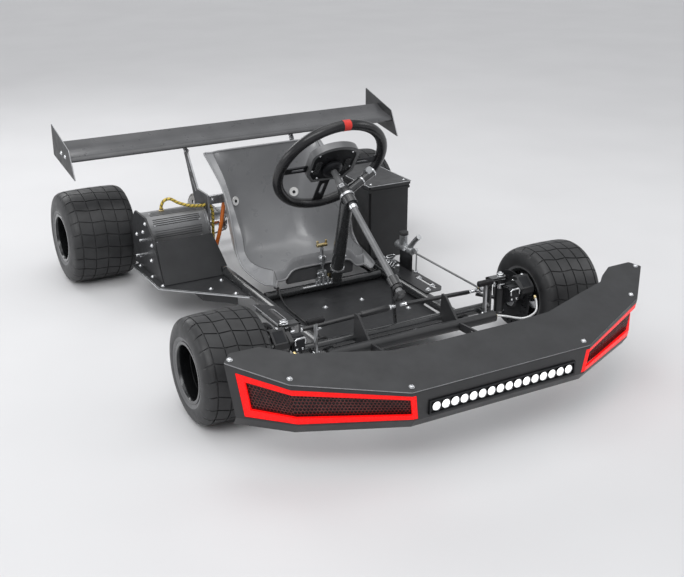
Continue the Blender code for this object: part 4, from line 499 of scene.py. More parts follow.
def nut(place, axis, flats, height, cut, low=0.0):
    """A six-sided nut with cut edges."""
    outline = ring_points((0, 0), flats / 2 / cos(pi / 6), 6, pi / 6)
    return plate([outline], low, height, placed(place, axis), cut)


def hex_nut(place, axis, flats, height):
    return nut(place, axis, flats, height, flats * 0.06, -0.0002)


def hex_head(place, axis, flats, height):
    """A hexagon bolt head or nut with a chamfered top and a short thread end."""
    thread = turned([(0, height), (flats * 0.26, height), (flats * 0.26, height + flats * 0.2),
                     (flats * 0.2, height + flats * 0.26), (0, height + flats * 0.26)], place, axis, 14)
    return [hex_nut(place, axis, flats, height), thread]


def button_head(place, normal, size):
    """A domed screw head with a sunk socket."""
    dome = [(0.0, 0.22), (0.336, 0.22), (0.42, 0.62), (0.4704, 0.66), (0.72, 0.56), (0.92, 0.34), (1.0, 0.12)]
    return turned([(r * size, h * size) for r, h in dome] + [(size, -0.0004), (0.0, -0.0004)], place, normal,
                  18)


def washer(place, normal, outer, inner=0.003, thick=0.0010):
    return collar(place, normal, inner, outer, thick, (0.0003, thick * 0.3), 28)


def screws_on(places, normal, outer, thick, head):
    """Domed screws and the washers under them."""
    normal = Vector(normal)
    heads = [button_head(Vector(place) + normal * thick, normal, head) for place in places]
    return heads, [washer(place, normal, outer, 0.003, thick) for place in places]


def assemble(name, body, shapes, replaces=(), angle=38.0):
    """Join meshes, each with its material, into one piece that rides on a body."""
    work = bmesh.new()
    materials = []
    for meshes, key in shapes:
        if key not in materials:
            materials.append(key)
        for mesh in meshes if isinstance(meshes, list) else [meshes]:
            before = len(work.faces)
            work.from_mesh(mesh)
            work.faces.ensure_lookup_table()
            for face in work.faces[before:]:
                face.material_index = materials.index(key)
            bpy.data.meshes.remove(mesh)
    bmesh.ops.recalc_face_normals(work, faces=work.faces)
    bmesh.ops.translate(work, verts=work.verts, vec=AXLE_SHIFT)
    mesh = bpy.data.meshes.new(name)
    work.to_mesh(mesh)
    work.free()
    for key in materials:
        mesh.materials.append(PAINT[key])
    smooth(mesh)
    mesh.set_sharp_from_angle(angle=radians(angle))
    obj = bpy.data.objects.new(name, mesh)
    bpy.context.scene.collection.objects.link(obj)
    if body is not None:
        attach(obj, body)
    if replaces:
        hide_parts(*replaces)
    return obj


def smooth(mesh):
    for polygon in mesh.polygons:
        polygon.use_smooth = True


def pale_edges(obj, facing):
    """Give the cut edges and chamfers of a flat sheet a paler finish, partly bare cut metal and partly a
    painted highlight.
    """
    obj.data.materials.append(PAINT["edge"])
    pale = len(obj.data.materials) - 1
    for polygon in obj.data.polygons:
        if polygon.material_index == 0 and abs(polygon.normal.dot(facing)) < 0.96:
            polygon.material_index = pale


def dress(node, key, bevel, segments=2, pale=False):
    """Give a carried-over solid its finish and softened edges, which may be paler: partly bare metal, partly
    a painted highlight.
    """
    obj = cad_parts[node]
    obj.data.materials.clear()
    obj.data.materials.append(PAINT[key])
    smooth(obj.data)
    soft = obj.modifiers.new("edges", "BEVEL")
    soft.width = bevel
    soft.segments = segments
    soft.limit_method = "ANGLE"
    soft.angle_limit = radians(32)
    soft.harden_normals = True
    if pale:
        obj.data.materials.append(PAINT["edge"])
        soft.material = 1


# Nose

NOSE_PLAN = mirrored([(-x, y) for x, y in (NOSE_TIP, NOSE_CORNER, NOSE_FRONT)])
NOSE_REAR = [(0.583, -0.231), (0.511, -0.232), (0.468, -0.257), (0.446, -0.276), (0.365, -0.296),
             (0.228, -0.333), (0.100, -0.338)]
NOSE_UP = Vector((0.0, -sin(NOSE_ANGLE), cos(NOSE_ANGLE)))
GRILLE_INSET = 0.0106


def nose_plan_y(x):
    for (x0, y0), (x1, y1) in zip(NOSE_PLAN, NOSE_PLAN[1:]):
        if x0 <= x <= x1:
            return y0 + (y1 - y0) * (x - x0) / (x1 - x0)
    return NOSE_TIP[1]


def nose_top_z(y):
    return NOSE_CORNER_Z + NOSE_SLOPE * (y - NOSE_CORNER[1])


def nose_wall(x, drop, inset=0.0):
    """A point on the nose's front wall, drop 0 at its top and 1 at its foot."""
    y = nose_plan_y(x)
    top = Vector((x, y, nose_top_z(y) - SHEET / cos(NOSE_ANGLE) - GAP))
    tuck = 1.0 if abs(x) < LAMP_HALF + 2 * GAP else 0.960
    foot = Vector((x * tuck, y * 0.992, NOSE_FOOT_Z))
    return top.lerp(foot, drop) + Vector((0.0, inset, 0.0))


def solid_grid(rows, thickness):
    """A folded sheet from rows of points, thickened behind its front face."""
    vertices = [p for row in rows for p in row]
    width = len(rows[0])
    faces = [(i * width + j, (i + 1) * width + j, (i + 1) * width + j + 1, i * width + j + 1)
             for i in range(len(rows) - 1) for j in range(width - 1)]
    mesh = mesh_from(vertices, faces)
    obj = bpy.data.objects.new("thickened", mesh)
    bpy.context.scene.collection.objects.link(obj)
    solid = obj.modifiers.new("thickness", "SOLIDIFY")
    solid.thickness = thickness
    solid.offset = -1.0
    solid.use_even_offset = True
    graph = bpy.context.evaluated_depsgraph_get()
    result = bpy.data.meshes.new_from_object(obj.evaluated_get(graph))
    bpy.data.objects.remove(obj)
    bpy.data.meshes.remove(mesh)
    return result


def nose_screws():
    """Screw places in plan: the tips' ones close to the edge, the others further in."""
    places = []
    for x, y in (NOSE_TIP, NOSE_CORNER, NOSE_FRONT):
        back, inward = (0.0045, 0.016) if (x, y) == NOSE_TIP else (0.016, 0.008)
        places += [(x - inward, y + back), (inward - x, y + back)]
    return places


def on_slope(x, y):
    """A plan place as a place on the sloped top plate."""
    return x, (y - NOSE_CORNER[1]) / cos(NOSE_ANGLE)


def make_nose():
    flat = rounded([on_slope(*place) for place in NOSE_PLAN + mirrored(NOSE_REAR)], 0.004, 3)
    holes = [ring_points(on_slope(*place), 0.003, 14) for place in nose_screws()]
    top = plate([flat] + holes, -SHEET, 0.0, placed((0, NOSE_CORNER[1], NOSE_CORNER_Z), NOSE_UP), 0.0009)
    sheet = assemble("nose_plate", "chassis", [(top, "plate")], ["nose_top_plate"])
    pale_edges(sheet, NOSE_UP)
    heads, rings = screws_on([(x, y, nose_top_z(y)) for x, y in nose_screws()], NOSE_UP, 0.0068, 0.0010,
                             0.0052)
    assemble("nose_plate_screws", "chassis", [(heads, "bright"), (rings, "grey")])
    dress("nose_shell", "satin", 0.0012, 2, True)
    for name, side in SIDES:
        dress(f"lamp_frame_{name}", "frame_glow", 0.0012, 3)
        make_grille(name, side)
    make_lamp_bar()


def honeycomb_patch(x_from, x_to, cell=0.0085, web=0.0009, thick=0.0012):
    """Sheet with six-sided holes between two X places of the front wall."""
    top_left, bottom_left, top_right, bottom_right = (
        nose_wall(x, drop, GRILLE_INSET) for x in (x_from, x_to) for drop in (0.13, 0.93))
    width = (top_right - top_left).length
    height = ((top_left - bottom_left).length + (top_right - bottom_right).length) / 2
    back = (top_right - top_left).cross(bottom_left - top_left).normalized()
    if back.y < 0:
        back = -back

    def at(s, t, depth):
        s, t = min(max(s / width, 0.0), 1.0), min(max(t / height, 0.0), 1.0)
        upper, lower = top_left.lerp(top_right, s), bottom_left.lerp(bottom_right, s)
        return upper.lerp(lower, t) + back * depth

    vertices, faces = [], []
    row_step = cell * sqrt(3) / 2
    outer_r, inner_r = cell / sqrt(3), cell / sqrt(3) - web
    for row in range(int(height / row_step) + 2):
        for column in range(int(width / cell) + 2):
            centre = ((column + 0.5 * (row % 2)) * cell, row * row_step)
            first = len(vertices)
            for radius, depth in ((outer_r, 0.0), (inner_r, 0.0), (inner_r, thick), (outer_r, thick)):
                vertices += [at(s, t, depth) for s, t in ring_points(centre, radius, 6, pi / 6)]
            for layer in range(3):
                for k in range(6):
                    a, b = first + layer * 6 + k, first + layer * 6 + (k + 1) % 6
                    faces.append((a, b, b + 6, a + 6))
    return mesh_from(vertices, faces)


def make_grille(name, side):
    """Honeycomb over a dark backing, in two flat parts that meet at the nose's corner."""
    patches, backs = [], []
    for near, far, margin in ((WINDOW_INNER, NOSE_CORNER[0], 1), (NOSE_CORNER[0], WINDOW_OUTER, -1)):
        def ends(by):
            return on_side(side, near + max(margin, 0) * by, far + min(margin, 0) * by)
        patches.append(honeycomb_patch(*ends(0.006)))
        low, high = ends(0.004)
        rows = [[nose_wall(x, drop, GRILLE_INSET + 0.0045) for x in (low, (low + high) / 2, high)]
                for drop in (0.12, 0.5, 0.94)]
        backs.append(solid_grid(rows, 0.0006))
    # The honeycomb's red tint is painted glow of the lamp frames
    assemble(f"honeycomb_{name}", "chassis", [(patches, "mesh_painted_glow"), (backs, "box")], [f"grille_{name}"])


def make_lamp_bar():
    """Row of round lenses in cups behind the lamp bar's front."""
    dress("lamp_bar", "alloy", 0.0010)
    middle = (LAMP_LOW + LAMP_HIGH) / 2
    base = LAMP_FRONT + 0.0057
    rim = 0.0045
    strip = block((-LAMP_HALF + rim, base - 0.0015, LAMP_LOW + rim),
                  (LAMP_HALF - rim, base - 0.0002, LAMP_HIGH - rim),
                  0.0004)
    pitch = (2 * LAMP_HALF - 0.029) / (LAMPS - 1) * 0.975
    cup = [(0, 0.0002), (0.0062, 0.0004), (0.0104, 0.0026), (0.0112, 0.0034), (0.0117, 0.0028), (0.0117, 0.0),
           (0, 0.0)]
    lens = [(0, 0.0052), (0.0040, 0.0049), (0.0076, 0.0038), (0.0099, 0.0020), (0.0103, 0.0009),
            (0.0, 0.0005)]
    ring = [(0.0110, 0.0034), (0.0116, 0.0038), (0.0121, 0.0034), (0.0121, 0.0), (0.0110, 0.0)]
    shapes = [(strip, "box")]
    for profile, key in ((cup, "reflector"), (lens, "lamp_glow"), (ring, "alloy")):
        shapes.append(([turned(profile, ((i - (LAMPS - 1) / 2) * pitch, base - 0.0014, middle), -BACK, 28)
                        for i in range(LAMPS)], key))
    assemble("lamp_strip", "chassis", shapes, ["lamp_lens"])


# Wheels

GROOVE_LINES = (0.0, 0.36, 0.72)
BLOCK_LENGTH = 0.040
TREAD_LEAN = ((-1.0, 0.006), (-0.72, 0.000), (-0.36, 0.010), (0.0, 0.010), (0.36, 0.019), (0.72, 0.022),
              (1.0, 0.030))
TREAD_HALF, TREAD_FADE = 0.95, 0.10
GROOVE_DEEP = 0.0030
GROOVE_FLAT, GROOVE_RAMP = 0.0011, 0.0008
RIM_BOLTS = 4


def tyre_section(radius, half):
    """The tyre's outer section from bead to bead over the crown, X its distance and Y its radius."""
    side = [(half - BEAD_INSET, BEAD_R + 0.0005), (half - BEAD_INSET + 0.0008, BEAD_R + 0.0040),
            (half - 0.0022, BEAD_R + 0.0120), (half - 0.0001, BEAD_R + 0.0225),
            (half - 0.0016, BEAD_R + 0.0370),
            (half * 0.935, radius - 0.0150), (half * 0.870, radius - 0.0072), (half * 0.760, radius - 0.0030),
            (half * 0.560, radius - 0.0012), (half * 0.280, radius - 0.0004)]
    outline = side + [(0.0, radius)] + [(-d, r) for d, r in reversed(side)]
    line = smooth_line([(d, r, 0) for d, r in outline], 0.0040)
    grooves = sorted({sign * share * half for share in GROOVE_LINES for sign in (1, -1)}, reverse=True)
    edges = (GROOVE_FLAT + GROOVE_RAMP, GROOVE_FLAT, -GROOVE_FLAT, -GROOVE_FLAT - GROOVE_RAMP)
    section = [line[0]]
    for a, b in zip(line, line[1:]):
        if (a.y + b.y) / 2 > radius - 0.03:
            spots = [groove + edge for groove in grooves for edge in edges if b.x < groove + edge < a.x]
            section += [a.lerp(b, (spot - a.x) / (b.x - a.x)) for spot in spots]
        section.append(b)
    return section


def tread_lean(share, side):
    """How far a cross groove has moved round the tyre at a share of the half width."""
    place = min(max(share * side, -1.0), 1.0)
    for (a, low), (b, high) in zip(TREAD_LEAN, TREAD_LEAN[1:]):
        if place <= b:
            break
    return -side * (low + (high - low) * (place - a) / (b - a))


def groove_cut(gap):
    """1 on a groove's floor, falling to 0 at the top of its ramp."""
    return 1.0 - min(max((gap - GROOVE_FLAT) / GROOVE_RAMP, 0.0), 1.0)


def groove_depth(arc, distance, half, length):
    """How deep the tread is cut at an arc place and a distance from the tyre's middle."""
    share = abs(distance) / half
    if share > TREAD_HALF:
        return 0.0
    lengthwise = max(groove_cut(abs(abs(distance) - line * half)) for line in GROOVE_LINES)
    crosswise = groove_cut(abs((arc / length) % 1.0 - 0.5) * length)
    return GROOVE_DEEP * max(lengthwise * 0.9, crosswise * min(1.0, (TREAD_HALF - share) / TREAD_FADE))


def tread_arcs(blocks, length):
    """Arc places round the tyre, close together where the cross grooves lie."""
    flat, ramp_end = GROOVE_FLAT / length, (GROOVE_FLAT + GROOVE_RAMP) / length
    near = (-ramp_end, -(flat + ramp_end) / 2, -flat, 0.0, flat, (flat + ramp_end) / 2, ramp_end)
    shares = [0.0, 0.16, 0.32] + [0.5 + step for step in near] + [0.68, 0.84]
    return [(block_at + share) * length for block_at in range(blocks) for share in shares]


def make_tyre(name, body, radius, width, matrix, node):
    """A treaded tyre: its section turned round the axle, with the grooves cut along the normals."""
    half = width / 2
    side = 1 if matrix.col[2].x > 0 else -1
    section = tyre_section(radius, half)
    blocks = round(tau * radius / BLOCK_LENGTH)
    length = tau * radius / blocks
    arcs = tread_arcs(blocks, length)
    outer = []
    for k, point in enumerate(section):
        along = section[min(k + 1, len(section) - 1)] - section[max(k - 1, 0)]
        normal = Vector((-along.y, along.x, 0)).normalized()
        if normal.dot(Vector((point.x * 0.5, point.y - BEAD_R * 0.8, 0))) <= 0:
            normal = -normal
        outer.append((point, normal, tread_lean(point.x / half, side)))
    inner = [(end * (half - BEAD_INSET), BEAD_R + 0.0004) for end in (-1, 1)]
    vertices, faces = [], []
    for arc in arcs:
        for point, normal, lean in outer:
            spot = point - normal * groove_depth(arc, point.x, half, length)
            vertices.append(matrix @ Vector((*around(spot.y, (arc - lean) / radius), spot.x)))
        vertices += [matrix @ Vector((*around(r, arc / radius), d)) for d, r in inner]
    ring = len(outer) + len(inner)
    for i in range(len(arcs)):
        a, b = i * ring, ((i + 1) % len(arcs)) * ring
        for k in range(ring):
            j = (k + 1) % ring
            faces.append((a + k, a + j, b + j, b + k))
    obj = assemble(name, body, [(mesh_from(vertices, faces), "tyre")], [node], 50.0)
    obj.data.materials.append(PAINT["sidewall"])
    for index, polygon in enumerate(obj.data.polygons):
        k = index % ring
        if k < len(section) and section[k].y < BEAD_R + 0.0130:
            polygon.material_index = 1


def rim_profile(lip, disc_at, bore):
    """Section of a rim: rolled lips, the disc with its drop, and a barrel with four fine steps."""
    edge = lip + 0.0033
    outer, inner = BEAD_R - GAP, BEAD_R - 0.0065
    back = [(outer + 0.0046, edge - 0.0004), (outer + 0.0052, edge - 0.0016), (outer + 0.0046, lip),
            (outer, lip - 0.0008), (outer - 0.0004, -lip + 0.0008), (outer + 0.0046, -lip),
            (outer + 0.0052, -edge + 0.0016), (outer + 0.0046, -edge + 0.0004), (outer + 0.0020, -edge),
            (inner + 0.0025, -edge + 0.0006), (inner + 0.0005, -edge + 0.0040), (inner, -edge + 0.010)]
    disc = [(inner, -0.008), (inner - 0.004, -0.001), (inner - 0.010, 0.0), (0.050, 0.0), (0.048, 0.0004),
            (bore, 0.0004), (bore, 0.005), (0.050, 0.005), (0.054, 0.0042), (inner - 0.012, 0.0042),
            (inner - 0.004, 0.007), (inner, 0.016)]
    steps, start, end = 5, disc_at + 0.016, edge - 0.012
    barrel = []
    for i in range(1, steps):
        h = start + (end - start) * i / steps
        barrel += [(inner, h - 0.0006), (inner + 0.0005, h), (inner, h + 0.0006)]
    front = [(inner, end), (inner + 0.0008, edge - 0.005), (inner + 0.0028, edge - 0.0008),
             (outer + 0.0020, edge)]
    return back + [(r, disc_at + h) for r, h in disc] + barrel + front


def make_rim(name, body, width, disc_at, bore, matrix, node):
    """A one-piece rim with its bolts and valve."""
    barrel = lathe(rim_profile(width / 2 - BEAD_INSET, disc_at, bore), matrix, 96)
    turn = matrix.to_3x3()
    heads = []
    for x, y in ring_points((0, 0), 0.034, RIM_BOLTS, tau / RIM_BOLTS / 2):
        place = matrix @ Vector((x, y, disc_at + 0.005))
        heads += [*hex_head(place, turn @ UP, 0.0125, 0.007), washer(place, turn @ UP, 0.0085, 0.004, 0.0011)]
    stem = matrix @ Vector((BEAD_R - 0.0125, 0, disc_at + 0.004))
    axis = (turn @ Vector((-0.35, 0, 1))).normalized()
    valve = [round_bar(stem, stem + axis * 0.020, 0.0034, 16),
             round_bar(stem + axis * 0.018, stem + axis * 0.029, 0.0042, 12)]
    assemble(name, body, [(barrel, "rim"), (heads, "bright"), (valve, "hose")], [node], 30.0)


def make_wheels():
    for name, side in SIDES:
        axles = (("front", f"front_wheel_{name}", 0.0, FRONT_R, FRONT_WIDTH, FRONT_FACE_X, HUB_X_FRONT,
                  0.020),
                 ("rear", "rear_axle_set", REAR_Y, REAR_R, REAR_WIDTH, REAR_FACE_X, HUB_X_REAR, 0.0203))
        for end, body, y, radius, width, face_x, hub_x, bore in axles:
            middle = face_x - width / 2
            matrix = placed((middle * side, y, radius), (side, 0, 0), UP)
            make_tyre(f"treaded_tyre_{end}_{name}", body, radius, width, matrix, f"tyre_{end}_{name}")
            make_rim(f"dished_rim_{end}_{name}", body, width, hub_x + GAP - middle, bore, matrix,
                     f"rim_{end}_{name}")


# Front axle

def make_front_discs():
    """Drilled brake discs on lobed carriers, with the front hubs."""
    face, back = HUB_X_FRONT, DISC_X - 0.005
    hub = [(0.045, face - 0.0004), (0.0446, face), (0.012, face), (0.0102, face - 0.001),
           (0.0102, back - 0.0005),
           (0.0215, back - 0.0005), (0.022, back), (0.022, face - 0.012), (0.025, face - 0.0065),
           (0.0446, face - 0.005), (0.045, face - 0.0046)]
    lobes = [around(0.0385 + 0.0050 * cos(6 * tau * i / 72), tau * i / 72) for i in range(72)]
    holes = [ring_points(place, radius, 10)
             for ring, count, radius in ((0.068, 24, 0.0034), (0.055, 16, 0.0036))
             for place in ring_points((0, 0), ring, count, 0.05)]
    for name, side in SIDES:
        matrix = placed((0, 0, FRONT_R), (side, 0, 0), UP)
        disc = plate([ring_points((0, 0), DISC_R, 96), ring_points((0, 0), 0.030, 48)] + holes,
                     DISC_X - DISC_THICK / 2, DISC_X + DISC_THICK / 2, matrix, 0.0004)
        carrier = plate([lobes, ring_points((0, 0), 0.020, 32)], DISC_X + 0.0005, DISC_X + 0.0045, matrix)
        bolts = [button_head(matrix @ Vector((x, y, DISC_X + 0.0045)), (side, 0, 0), 0.0042)
                 for x, y in ring_points((0, 0), 0.037, 6)]
        assemble(f"drilled_disc_{name}", f"front_wheel_{name}",
                 [(disc, "alloy"), (carrier, "satin"), ([lathe(hub, matrix, 48)] + bolts, "bright")],
                 [f"front_disc_{name}"])


def calliper_details(side):
    """Piston caps, screws and cover of a calliper, as its bright and its dark parts."""
    bright, dark = [], []
    tilt = radians(40.0)
    outward = Vector((0, -sin(tilt), cos(tilt)))
    along = Vector((0, cos(tilt), sin(tilt)))
    centre = Vector((DISC_X * side, 0, FRONT_R)) + outward * (DISC_R - 0.012)
    cap = [(0, 0.0030), (0.0085, 0.0030), (0.0095, 0.0020), (0.0095, 0), (0, 0)]
    for face in (-ACROSS, ACROSS):
        for t in (-0.018, 0.018):
            spot = centre + face * 0.020 + along * t
            bright.append(turned(cap, spot - along * t * 0.25, face, 24))
            dark.append(button_head(spot + along * t * 0.35 + outward * 0.012, face, 0.0036))
    top = centre + outward * 0.022
    dark.append(block((-0.014, -0.016, -0.0006), (0.014, 0.016, 0.0008), 0.0004, placed(top, outward)))
    nipple = top + along * 0.022
    bright.append(round_bar(nipple - outward * 0.006, nipple + outward * 0.004, 0.0036, 12))
    return bright, dark


def clip_details(side):
    """The block beside the knuckle, and the bent wire clip and two screws on its front."""
    near, far = on_side(side, 0.312, 0.348)
    body = block((near, -0.074, 0.160), (far, -0.046, 0.203), 0.004)
    bends = [(-0.013, -0.007), (-0.014, 0.005), (-0.010, 0.009), (0.011, 0.010), (0.015, 0.005),
             (0.014, -0.006)]
    clip = sweep([(0.329 * side + a, -0.0765, 0.189 + b) for a, b in bends], 0.0024, 12)
    return [clip] + [button_head((0.329 * side + a, -0.0742, 0.169), -BACK, 0.0034)
                     for a in (-0.008, 0.008)], [body]


def make_knuckles():
    for name, side in SIDES:
        dress(f"knuckle_{name}", "satin", 0.0012, 2, True)
        x = KINGPIN_X * side
        bright, dark = (one + other for one, other in zip(calliper_details(side), clip_details(side)))
        bright.append(hex_nut((0.532 * side, 0, FRONT_R), (side, 0, 0), 0.012, 0.0002))
        bright.append(turned([(0.0150, 0), (0.0166, 0.0010), (0.0166, 0.0130), (0.0150, 0.0140)],
                             (x, 0, 0.178), UP, 32))
        spacer = [(0.0146, -0.0009), (0.0152, -0.0006), (0.0152, 0.0006), (0.0146, 0.0009), (0.0062, 0.0009),
                  (0.0062, -0.0009)]
        for z, facing in ((YOKE_LOW + YOKE_THICK + 0.0012, UP), (YOKE_HIGH - 0.0012, -UP)):
            bright.append(turned(spacer, (x, 0, z), facing, 28))
        assemble(f"knuckle_fittings_{name}", f"steer_knuckle_{name}", [(bright, "bright"), (dark, "alloy")])


def down_column(distance):
    """A place on the steering column, below the wheel's centre."""
    return WHEEL_CENTRE - COLUMN_UP * distance


def make_tie_rods():
    pitman = down_column(0.461) - WHEEL_UP * 0.025
    for name, side in SIDES:
        ball = Vector((0.300 * side, 0.050, 0.157))
        inner = pitman + Vector((0.010 * side, 0, -0.014))
        along = (inner - ball).normalized()
        start = ball + along * 0.007
        reach = (inner - start).length
        eye = turned([(0.0046, -0.0045), (0.0092, -0.0045), (0.0102, -0.0032), (0.0102, 0.0032),
                      (0.0092, 0.0045),
                      (0.0046, 0.0045)], ball, UP, 32)
        neck = round_bar(start, start + along * 0.034, 0.0042, 16)
        thread = [washer(start + along * (0.012 + 0.0016 * i), along, 0.0047, 0.003, 0.0008)
                  for i in range(8)]
        nuts = [nut(place, along, 0.011, 0.0055, 0.0005)
                for place in (start + along * 0.027, inner - along * 0.016)]
        tail = round_bar(inner - along * 0.020, inner + along * 0.001, 0.0052, 16)
        dark = [turned([(0, 0), (0.0048, 0), (0.0062, 0.006), (0.0062, reach - 0.052),
                        (0.0050, reach - 0.040),
                        (0, reach - 0.040)], start + along * 0.032, along, 24)]
        if side < 0:
            dark.append(turned([(0.0060, 0), (0.0080, 0), (0.0085, 0.001), (0.0085, 0.074), (0.0080, 0.075),
                                (0.0060, 0.075)], inner - along * 0.095, along, 24))
        assemble(f"threaded_rod_{name}", f"steer_rod_{name}",
                 [(dark, "satin"), ([eye, neck, tail] + nuts + thread, "bright")], [f"tie_rod_{name}"])


def make_brake_hoses():
    route = [(0.3660, -0.1140, 0.1850), (0.3600, -0.1300, 0.1750), (0.3420, -0.1500, 0.1560),
             (0.3100, -0.1420, 0.1420), (0.2820, -0.1020, 0.1385), (0.2650, CARRIER_Y, CARRIER_Z),
             (CARRIER_HALF + GAP, CARRIER_Y, CARRIER_Z)]
    for name, side in SIDES:
        points = smooth_line([(x * side, y, z) for x, y, z in route], 0.003)
        ends = [round_bar(points[0], points[3], 0.0044, 12), round_bar(points[-4], points[-1], 0.0044, 12)]
        obj = assemble(f"calliper_hose_{name}", None,
                       [(sweep(points, 0.0030, 14), "hose_braid"), (ends, "brass")],
                       [f"brake_hose_{name}"])
        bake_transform(obj)


def yoke_parts(side):
    """The yoke at one end of the beam, and its kingpin with head, washer and nut."""
    web = corners(-0.012, YOKE_LOW, 0.012, YOKE_HIGH + YOKE_THICK)
    dark = [across([rounded(web, 0.002)], *on_side(side, BEAM_HALF - 0.003, BEAM_HALF + 0.003))]
    near, far = side * (BEAM_HALF - 0.003), side * (KINGPIN_X + 0.017)
    pin_x = KINGPIN_X * side
    for z in (YOKE_LOW, YOKE_HIGH):
        ear = [(near, -0.012), (near, 0.012)]
        ear += [(pin_x + side * (0.004 + 0.0125 * sin(pi * k / 10)), 0.012 * cos(pi * k / 10))
                for k in range(11)]
        dark.append(plate([ear], z, z + YOKE_THICK))
        weld_z = YOKE_LOW + YOKE_THICK if z == YOKE_LOW else YOKE_HIGH
        low, high = sorted((near, far))
        dark.append(sweep([(low + 0.004, -0.0125, weld_z), (high - 0.012, -0.0125, weld_z)], 0.0016, 8))
    top = (pin_x, 0, YOKE_HIGH + YOKE_THICK)
    bright = [round_bar((pin_x, 0, 0.094), (pin_x, 0, 0.219), 0.006, 24), *hex_head(top, UP, 0.018, 0.0072),
              washer(top, UP, 0.0112, 0.006, 0.0014), nut((pin_x, 0, 0), UP, 0.017, 0.0992, 0.0006, 0.0930)]
    dark.append(turned([(BEAM_R - 0.001, -0.004), (BEAM_R + 0.0026, -0.001), (BEAM_R + 0.001, 0.004),
                        (BEAM_R - 0.001, 0.004)], (side * (BEAM_HALF - 0.005), 0, BEAM_Z), (-side, 0, 0)))
    return dark, bright


def pedal_lugs(side):
    """Two cheeks on the beam and the pin that a pedal swings on."""
    x = PEDAL_X * side
    lug = [(0.004, BEAM_Z - 0.009), (0.004, BEAM_Z + 0.009), (PEDAL_Y, BEAM_Z + 0.007),
           (PEDAL_Y - 0.007, BEAM_Z),
           (PEDAL_Y, BEAM_Z - 0.007)]
    dark = [across([rounded(lug, 0.004)], x + cheek - 0.0015, x + cheek + 0.0015)
            for cheek in (-0.0048, 0.0048)]
    bright = [round_bar((x - 0.0075, PEDAL_Y, BEAM_Z), (x + 0.0075, PEDAL_Y, BEAM_Z), 0.003, 16)]
    bright += [button_head((x + end * 0.0063, PEDAL_Y, BEAM_Z), (end, 0, 0), 0.0052) for end in (-1, 1)]
    return dark, bright


def make_beam():
    """Front beam, kingpin yokes with their pins, pedal lugs and the column foot."""
    dark, bright = [pipe((-BEAM_HALF, 0, BEAM_Z), (BEAM_HALF, 0, BEAM_Z), BEAM_R, steps=48)], []
    for side in (-1, 1):
        for more_dark, more_bright in (yoke_parts(side), pedal_lugs(side)):
            dark += more_dark
            bright += more_bright
    foot = down_column(0.418)
    stay = [(0.004, BEAM_Z), (0.013, BEAM_Z), (foot.y + 0.013, foot.z - 0.006),
            (foot.y + 0.003, foot.z - 0.010)]
    dark.append(across([stay], -0.003, 0.003))
    dark.append(pipe(down_column(0.404), down_column(0.432), 0.016, 0.0061))
    assemble("front_beam_tube", "chassis", [(dark, "gloss"), (bright, "bright")], ["front_axle_beam"])


# Chassis

def make_rails():
    bore = RAIL_R - 0.0022
    cap = [(0, 0.0016), (RAIL_R - 0.004, 0.0016), (bore, 0.0004), (bore, -0.010), (0, -0.010)]
    for name, side in SIDES:
        x = RAIL_X * side
        tube = pipe((x, RAIL_FRONT, RAIL_Z), (x, RAIL_REAR, RAIL_Z), RAIL_R, steps=48)
        caps = [turned(cap, (x, y, RAIL_Z), facing, 32) for y,
                facing in ((RAIL_FRONT, -BACK), (RAIL_REAR, BACK))]
        assemble(f"side_rail_{name}", "chassis", [(tube, "gloss"), (caps, "box")], [f"rail_{name}"])


def make_rear_carrier():
    """Rear cross tube with the two plates and bearings that the axle turns in."""
    plates = [pipe((-STRUT_OUTER, REAR_TUBE_Y, RAIL_Z), (STRUT_OUTER, REAR_TUBE_Y, RAIL_Z), TUBE_R)]
    outline = [(REAR_Y - 0.020, RAIL_Z - 0.010), (REAR_TUBE_Y, RAIL_Z - 0.009), (REAR_TUBE_Y, RAIL_Z + 0.009),
               (REAR_Y + 0.024, REAR_R + 0.024), (REAR_Y - 0.024, REAR_R + 0.024)]
    bearing = [(0.0210, -0.0080), (0.0320, -0.0080), (0.033, -0.0070), (0.033, 0.0070), (0.032, 0.0080),
               (0.0285, 0.0080), (0.0278, 0.0068), (0.0240, 0.0068), (0.0235, 0.0085), (0.0210, 0.0085)]
    bearings, bolts = [], []
    for side in (-1, 1):
        plates.append(across([rounded(outline, 0.006), ring_points((REAR_Y, REAR_R), 0.022, 32)],
                             *on_side(side, 0.162, 0.168)))
        matrix = placed((0.165 * side, REAR_Y, REAR_R), (side, 0, 0), UP)
        bearings.append(lathe(bearing, matrix, 48))
        bolts += [button_head(matrix @ Vector((x, y, 0.0078)), (side, 0, 0), 0.0030)
                  for x, y in ring_points((0, 0), 0.02989, 3, 0.5)]
    assemble("rear_bearing_carrier", "chassis", [(plates, "satin"), (bearings, "cast"), (bolts, "bright")],
             ["rear_carrier"])


def make_floor_pan():
    outline = rounded(mirrored([(0.196, -0.012), (0.196, 0.170), (0.245, 0.215), (0.245, 0.370),
                                (0.196, 0.428)]), 0.006)
    slots = [slot_points((side * 0.236, 0.290), 0.120, 0.007, pi / 2) for side in (-1, 1)]
    top = RAIL_Z - RAIL_R - GAP
    pan = plate([outline] + slots, top - SHEET, top, bevel=0.0006)
    places = [(side * x, y, top) for x, y in ((0.145, 0.170), (0.080, 0.030), (0.060, 0.290))
              for side in (-1, 1)]
    heads, rings = screws_on(places, UP, 0.0080, 0.0009, 0.0056)
    assemble("floor_sheet", "chassis", [(pan, "plate"), (heads, "bright"), (rings, "grey")], ["floor_pan"])


